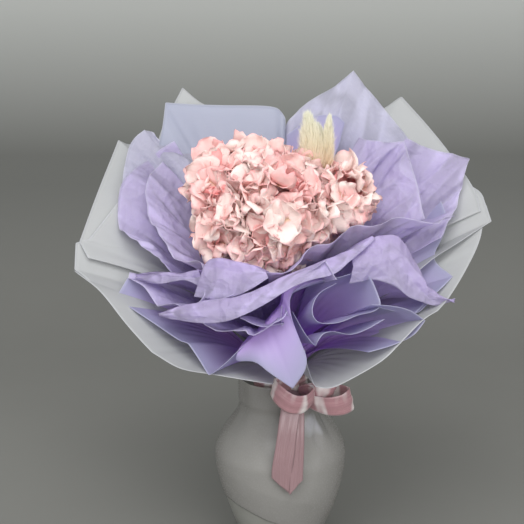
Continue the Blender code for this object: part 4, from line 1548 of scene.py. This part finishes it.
@dataclass(frozen=True)
class Band:
    """A length of ribbon along a path."""

    name: str
    path: tuple[Point, ...]  # millimetres
    node: str
    way: tuple[Point, ...] = ((0.0, -0.25, 0.97),)  # direction of the width, from the start to the end
    width: tuple[float, ...] = (0.022,)  # metres, from the start to the end
    crown: float = 0.0012  # how far the middle stands out from the edges
    point: float = 0.0  # how far the end is cut to a slant
    folds: float = 0.0
    grid: tuple[int, int] = (90, 13)  # points along and across

    def build(self, finish: bpy.types.Material) -> None:
        """Makes the ribbon: rows across its width, carried along the path.

        Args:
            finish: the satin.
        """
        count, rows = self.grid
        path = catmull(np.array(self.path, float) / 1000, count)
        t = np.linspace(0, 1, count)
        ways = np.array(self.way, float)
        at = np.linspace(0, 1, len(ways))
        way = unit(np.stack([np.interp(t, at, ways[:, k]) for k in range(3)], 1))
        width = np.interp(t, np.linspace(0, 1, len(self.width)), self.width)
        across = np.linspace(-0.5, 0.5, rows)
        ahead = unit(np.gradient(path, axis=0))
        way = unit(way - ahead * np.sum(way * ahead, 1, keepdims=True))
        out = np.cross(ahead, way)
        rise = self.crown * (1 - (2 * across) ** 2)[None, :]
        full = (0.4 + 0.6 * np.sin(np.pi * t))[:, None]
        rise = rise + self.folds * np.sin(across * 14 + 3 * t[:, None]) * full
        points = path[:, None] + way[:, None] * (width[:, None] * across)[..., None]
        points = points + out[:, None] * rise[..., None]
        slant = np.clip((t - 0.8) / 0.2, 0, 1)[:, None] ** 2 * (across + 0.5)[None, :] * self.point
        points = points - ahead[:, None] * slant[..., None]
        piece = add_mesh(self.name, points.reshape(-1, 3), grid_faces(count, rows))
        length = np.r_[0, np.cumsum(np.linalg.norm(np.diff(path, axis=0), axis=1))]
        flat = np.stack(np.broadcast_arrays(width[:, None] * across, length[:, None]), -1)
        add_uv(piece, flat)
        solidify(piece, SATIN_THICKNESS)
        dress(piece, finish)
        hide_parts(self.node)


@dataclass
class Ribbon:
    """The satin ribbon: round the tie, a knot, two loops, and tails down the jar."""

    loops: tuple[Band, ...] = (
        Band(
            "satin_loop_left",
            ((9, -37, 173), (-3, -42, 178), (-7, -50, 181), (-3, -59, 178), (8, -64, 171), (20, -62, 170),
             (28, -52, 175), (20, -41, 173)),
            "ribbon_loop_left", way=((0.1, -0.25, 0.97), (0.35, -0.2, 0.9), (-0.1, -0.3, 0.95)),
            width=(0.012, 0.018, 0.020, 0.014), folds=0.0003,
        ),
        Band(
            "satin_loop_right",
            ((16, -37, 169), (28, -49, 166), (41, -58, 166), (54, -56, 167), (62, -46, 169), (54, -38, 169),
             (38, -37, 169), (22, -38, 169)),
            "ribbon_loop_right", way=((0.0, -0.3, 0.95), (-0.25, -0.3, 0.9), (0.0, -0.2, 0.97)),
            width=(0.013, 0.021, 0.023, 0.016), folds=0.0003,
        ),
        Band(
            "satin_loop_small",
            ((17, -39, 172), (26, -47, 177), (35, -54, 179), (43, -52, 176), (44, -44, 172), (34, -40, 171),
             (22, -39, 171)),
            "ribbon_loop_right", way=((0.2, -0.25, 0.95), (0.45, -0.2, 0.85), (0.0, -0.2, 0.97)),
            width=(0.010, 0.015, 0.015, 0.011), folds=0.0003,
        ),
    )
    tails: tuple[Band, ...] = (
        Band(
            "satin_tail_front",
            ((9, -41, 174), (9, -54, 168), (6, -64, 151), (3, -67, 126), (1, -67, 112), (0.5, -66, 101)),
            "ribbon_tail_front", way=((1.0, 0.1, 0.0), (1.0, -0.05, 0.0)),
            width=(0.012, 0.017, 0.017, 0.018, 0.0185), point=-0.016, folds=0.0005,
        ),
        Band(
            "satin_tail_back",
            ((12, -40, 172), (14, -52, 165), (14, -63, 146), (14, -65.5, 122), (13.5, -65.5, 100),
             (13, -65, 85)),
            "ribbon_tail_back", way=((1.0, 0.2, 0.0), (1.0, 0.25, 0.0)),
            width=(0.010, 0.0125, 0.0125, 0.012, 0.012), point=0.016, folds=0.0003,
        ),
    )
    girdle_radius: float = 0.0245
    girdle_foot: float = 0.1662
    girdle_height: float = 0.013
    girdle_grid: tuple[int, int] = (140, 15)
    knot_centre: Point = (0.0090, -0.0305, 0.1750)
    knot_half: Point = (0.0068, 0.0050, 0.0085)
    knot_grid: tuple[int, int] = (48, 24)

    def build(self) -> None:
        """Makes the loops and tails, and dresses the band and the knot."""
        # painted light and shade: one satin in two copies, the loops, band and knot painted lighter with
        # painted highlight bands, the tails painted darker without them
        satin = SatinFinish().build()
        painted_shade_satin = SatinFinish("satin_tails_painted_shade", (0.37, 0.235, 0.25), (0.345, 0.215, 0.23), 0.0).build()
        for band in (*self.loops, *self.tails):
            band.build(painted_shade_satin if band in self.tails else satin)
        self.girdle(satin)
        self.knot(satin)

    def girdle(self, satin: bpy.types.Material) -> None:
        """Makes the ribbon round the tie: a ring whose height is gathered into soft folds.

        Args:
            satin: the finish.
        """
        columns, rows = self.girdle_grid
        turn = np.linspace(0, 2 * np.pi, columns, endpoint=False)[:, None]
        up = np.linspace(0, 1, rows)[None, :]
        folds = np.sin(up * 15 + 1.2 * np.sin(2 * turn)) * np.sin(np.pi * up) ** 0.5
        radius = self.girdle_radius + 0.0007 * folds
        z = self.girdle_foot + self.girdle_height * up + 0.0008 * np.sin(3 * turn)
        points = np.stack([radius * np.cos(turn), radius * np.sin(turn), z], -1)
        piece = add_mesh("satin_band", points.reshape(-1, 3), ring_faces(columns, rows))
        add_uv(piece, np.stack(np.broadcast_arrays(up * 0.022, turn * self.girdle_radius), -1))
        solidify(piece, BAND_THICKNESS)
        dress(piece, satin)
        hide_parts("ribbon_band")

    def knot(self, satin: bpy.types.Material) -> None:
        """Makes the knot: a rounded wrap with folds that run down it.

        Args:
            satin: the finish.
        """
        columns, rows = self.knot_grid
        turn = np.linspace(0, 2 * np.pi, columns, endpoint=False)[:, None]
        up = np.linspace(0.0, 1.0, rows)[None, 1:-1]
        swell = np.sin(np.pi * up) ** 0.45
        squeeze = 1 + 0.06 * np.sin(7 * turn + 2.2 * up)
        (mid_x, mid_y, mid_z), (half_x, half_y, half_z) = self.knot_centre, self.knot_half
        x = mid_x + half_x * swell * np.cos(turn) * squeeze
        y = mid_y + half_y * swell * np.sin(turn) * squeeze
        z = mid_z + half_z * (1 - 2 * up) * np.ones_like(turn)
        ring = np.stack([x.T, y.T, z.T], -1).reshape(-1, 3)
        ends = [[mid_x, mid_y, mid_z + half_z], [mid_x, mid_y, mid_z - half_z]]
        points = np.vstack([ring, ends])
        piece = add_mesh("satin_knot", points, *turned_faces(rows - 2, columns, flip=True))
        add_uv(piece, np.stack([points[:, 0], points[:, 2]], -1))
        dress(piece, satin)
        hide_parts("ribbon_knot")


# ---------------------------------------------------------------- studio


@dataclass
class Studio:
    """The plain floor, the lights and the camera."""

    distance: float = 1.15
    elevation: float = 15.0
    aim: Point = (-0.0171, 0.0, 0.282)
    width: float = 0.4717  # what the frame is wide at the aim
    sensor: float = 36.0  # millimetres
    lamps: tuple[tuple[str, Point, float, float], ...] = (  # name, place, size, watts
        ("key", (-0.15, -1.0, 1.6), 1.2, 24.5),
        ("low", (-0.9, -1.3, 0.25), 1.0, 3.5),
        ("fill", (0.6, -1.7, 0.6), 1.5, 17.0),
    )
    sky: Colour = (0.97, 0.98, 0.97)
    sky_strength: float = 0.74
    floor_dark: Colour = (0.158, 0.158, 0.147)
    floor_light: Colour = (0.172, 0.172, 0.16)
    # painted shade where the floor bends up, and painted light up the backdrop: darker low, lighter high
    bend_painted_shade: Colour = (0.118, 0.12, 0.112)  # where the floor starts to rise
    backdrop: Colour = (0.46, 0.47, 0.455)

    def build(self) -> None:
        """Makes everything that isn't the object."""
        self.floor()
        self.lights()
        self.camera()
        bpy.context.scene.view_settings.view_transform = "Standard"

    def floor(self) -> None:
        """Makes the grey floor, which curves up into a backdrop far behind, with painted shade at the bend
        and painted light higher up.
        """
        bend = np.linspace(0, np.pi / 2, 16)
        y = np.r_[-3.0, -1.0, 0.0, 0.6 + 0.8 * np.sin(bend), 1.4]
        z = np.r_[0.0, 0.0, 0.0, 0.8 * (1 - np.cos(bend)), 3.5]
        x = np.linspace(-3, 3, 7)
        points = np.stack(np.broadcast_arrays(x[None, :], y[:, None], z[:, None]), -1)
        mesh = bpy.data.meshes.new("floor")
        mesh.from_pydata(points.reshape(-1, 3).tolist(), [], grid_faces(len(y), len(x)).tolist())
        mesh.shade_smooth()
        floor = bpy.data.objects.new("floor", mesh)
        bpy.context.scene.collection.objects.link(floor)
        n = Nodes("floor")
        cloud = n.noise(n.place(), 3.0, 4.0)
        height = n.add("ShaderNodeSeparateXYZ", {0: n.place()}).outputs[2]
        base = n.blend(cloud, 0.3, 0.7, self.floor_dark, self.floor_light)
        # painted shade at the bend, then painted light up the backdrop
        base = n.blend(height, -0.02, 0.14, base, self.bend_painted_shade)
        base = n.blend(height, 0.18, 0.5, base, self.backdrop)
        mesh.materials.append(n.finish(n.lit(base, 0.8)))

    def lights(self) -> None:
        """Makes a broad soft light above and in front, a low one on the left, and an even fill."""
        for name, place, size, power in self.lamps:
            data = bpy.data.lights.new(name, "AREA")
            data.size, data.energy = size, power
            self.point(bpy.data.objects.new(name, data), Vector(place), Vector((0, 0, 0.28)))
        world = bpy.data.worlds.new("studio")
        world.use_nodes = True
        background = world.node_tree.nodes["Background"].inputs
        background[0].default_value = (*self.sky, 1.0)
        background[1].default_value = self.sky_strength
        bpy.context.scene.world = world

    def point(self, thing: bpy.types.Object, place: Vector, target: Vector) -> None:
        """Turns a light or a camera to its target.

        Args:
            thing: the light or camera.
            place: where it stands.
            target: what it looks at.
        """
        thing.location = place
        thing.rotation_euler = (target - place).to_track_quat("-Z", "Y").to_euler()
        bpy.context.scene.collection.objects.link(thing)

    def camera(self) -> None:
        """Makes the camera, in front of the bouquet and looking slightly down at it."""
        data = bpy.data.cameras.new("camera")
        data.sensor_width = self.sensor
        data.lens = self.sensor * self.distance / self.width
        data.clip_start = 0.05
        camera = bpy.data.objects.new("camera", data)
        tilt = math.radians(self.elevation)
        aim = Vector(self.aim)
        place = aim + self.distance * Vector((0, -math.cos(tilt), math.sin(tilt)))
        self.point(camera, place, aim)
        bpy.context.scene.camera = camera


def main() -> None:
    """Builds the studio and every part of the bouquet, in order."""
    logging.basicConfig(level=logging.INFO, format="%(name)s: %(message)s")
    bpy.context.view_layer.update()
    Studio().build()
    jar = Jar()
    jar.build()
    FilmSkirt(jar).build()
    Wrapping().build()
    Flowers().build()
    Ribbon().build()


if __name__ == "__main__":
    main()
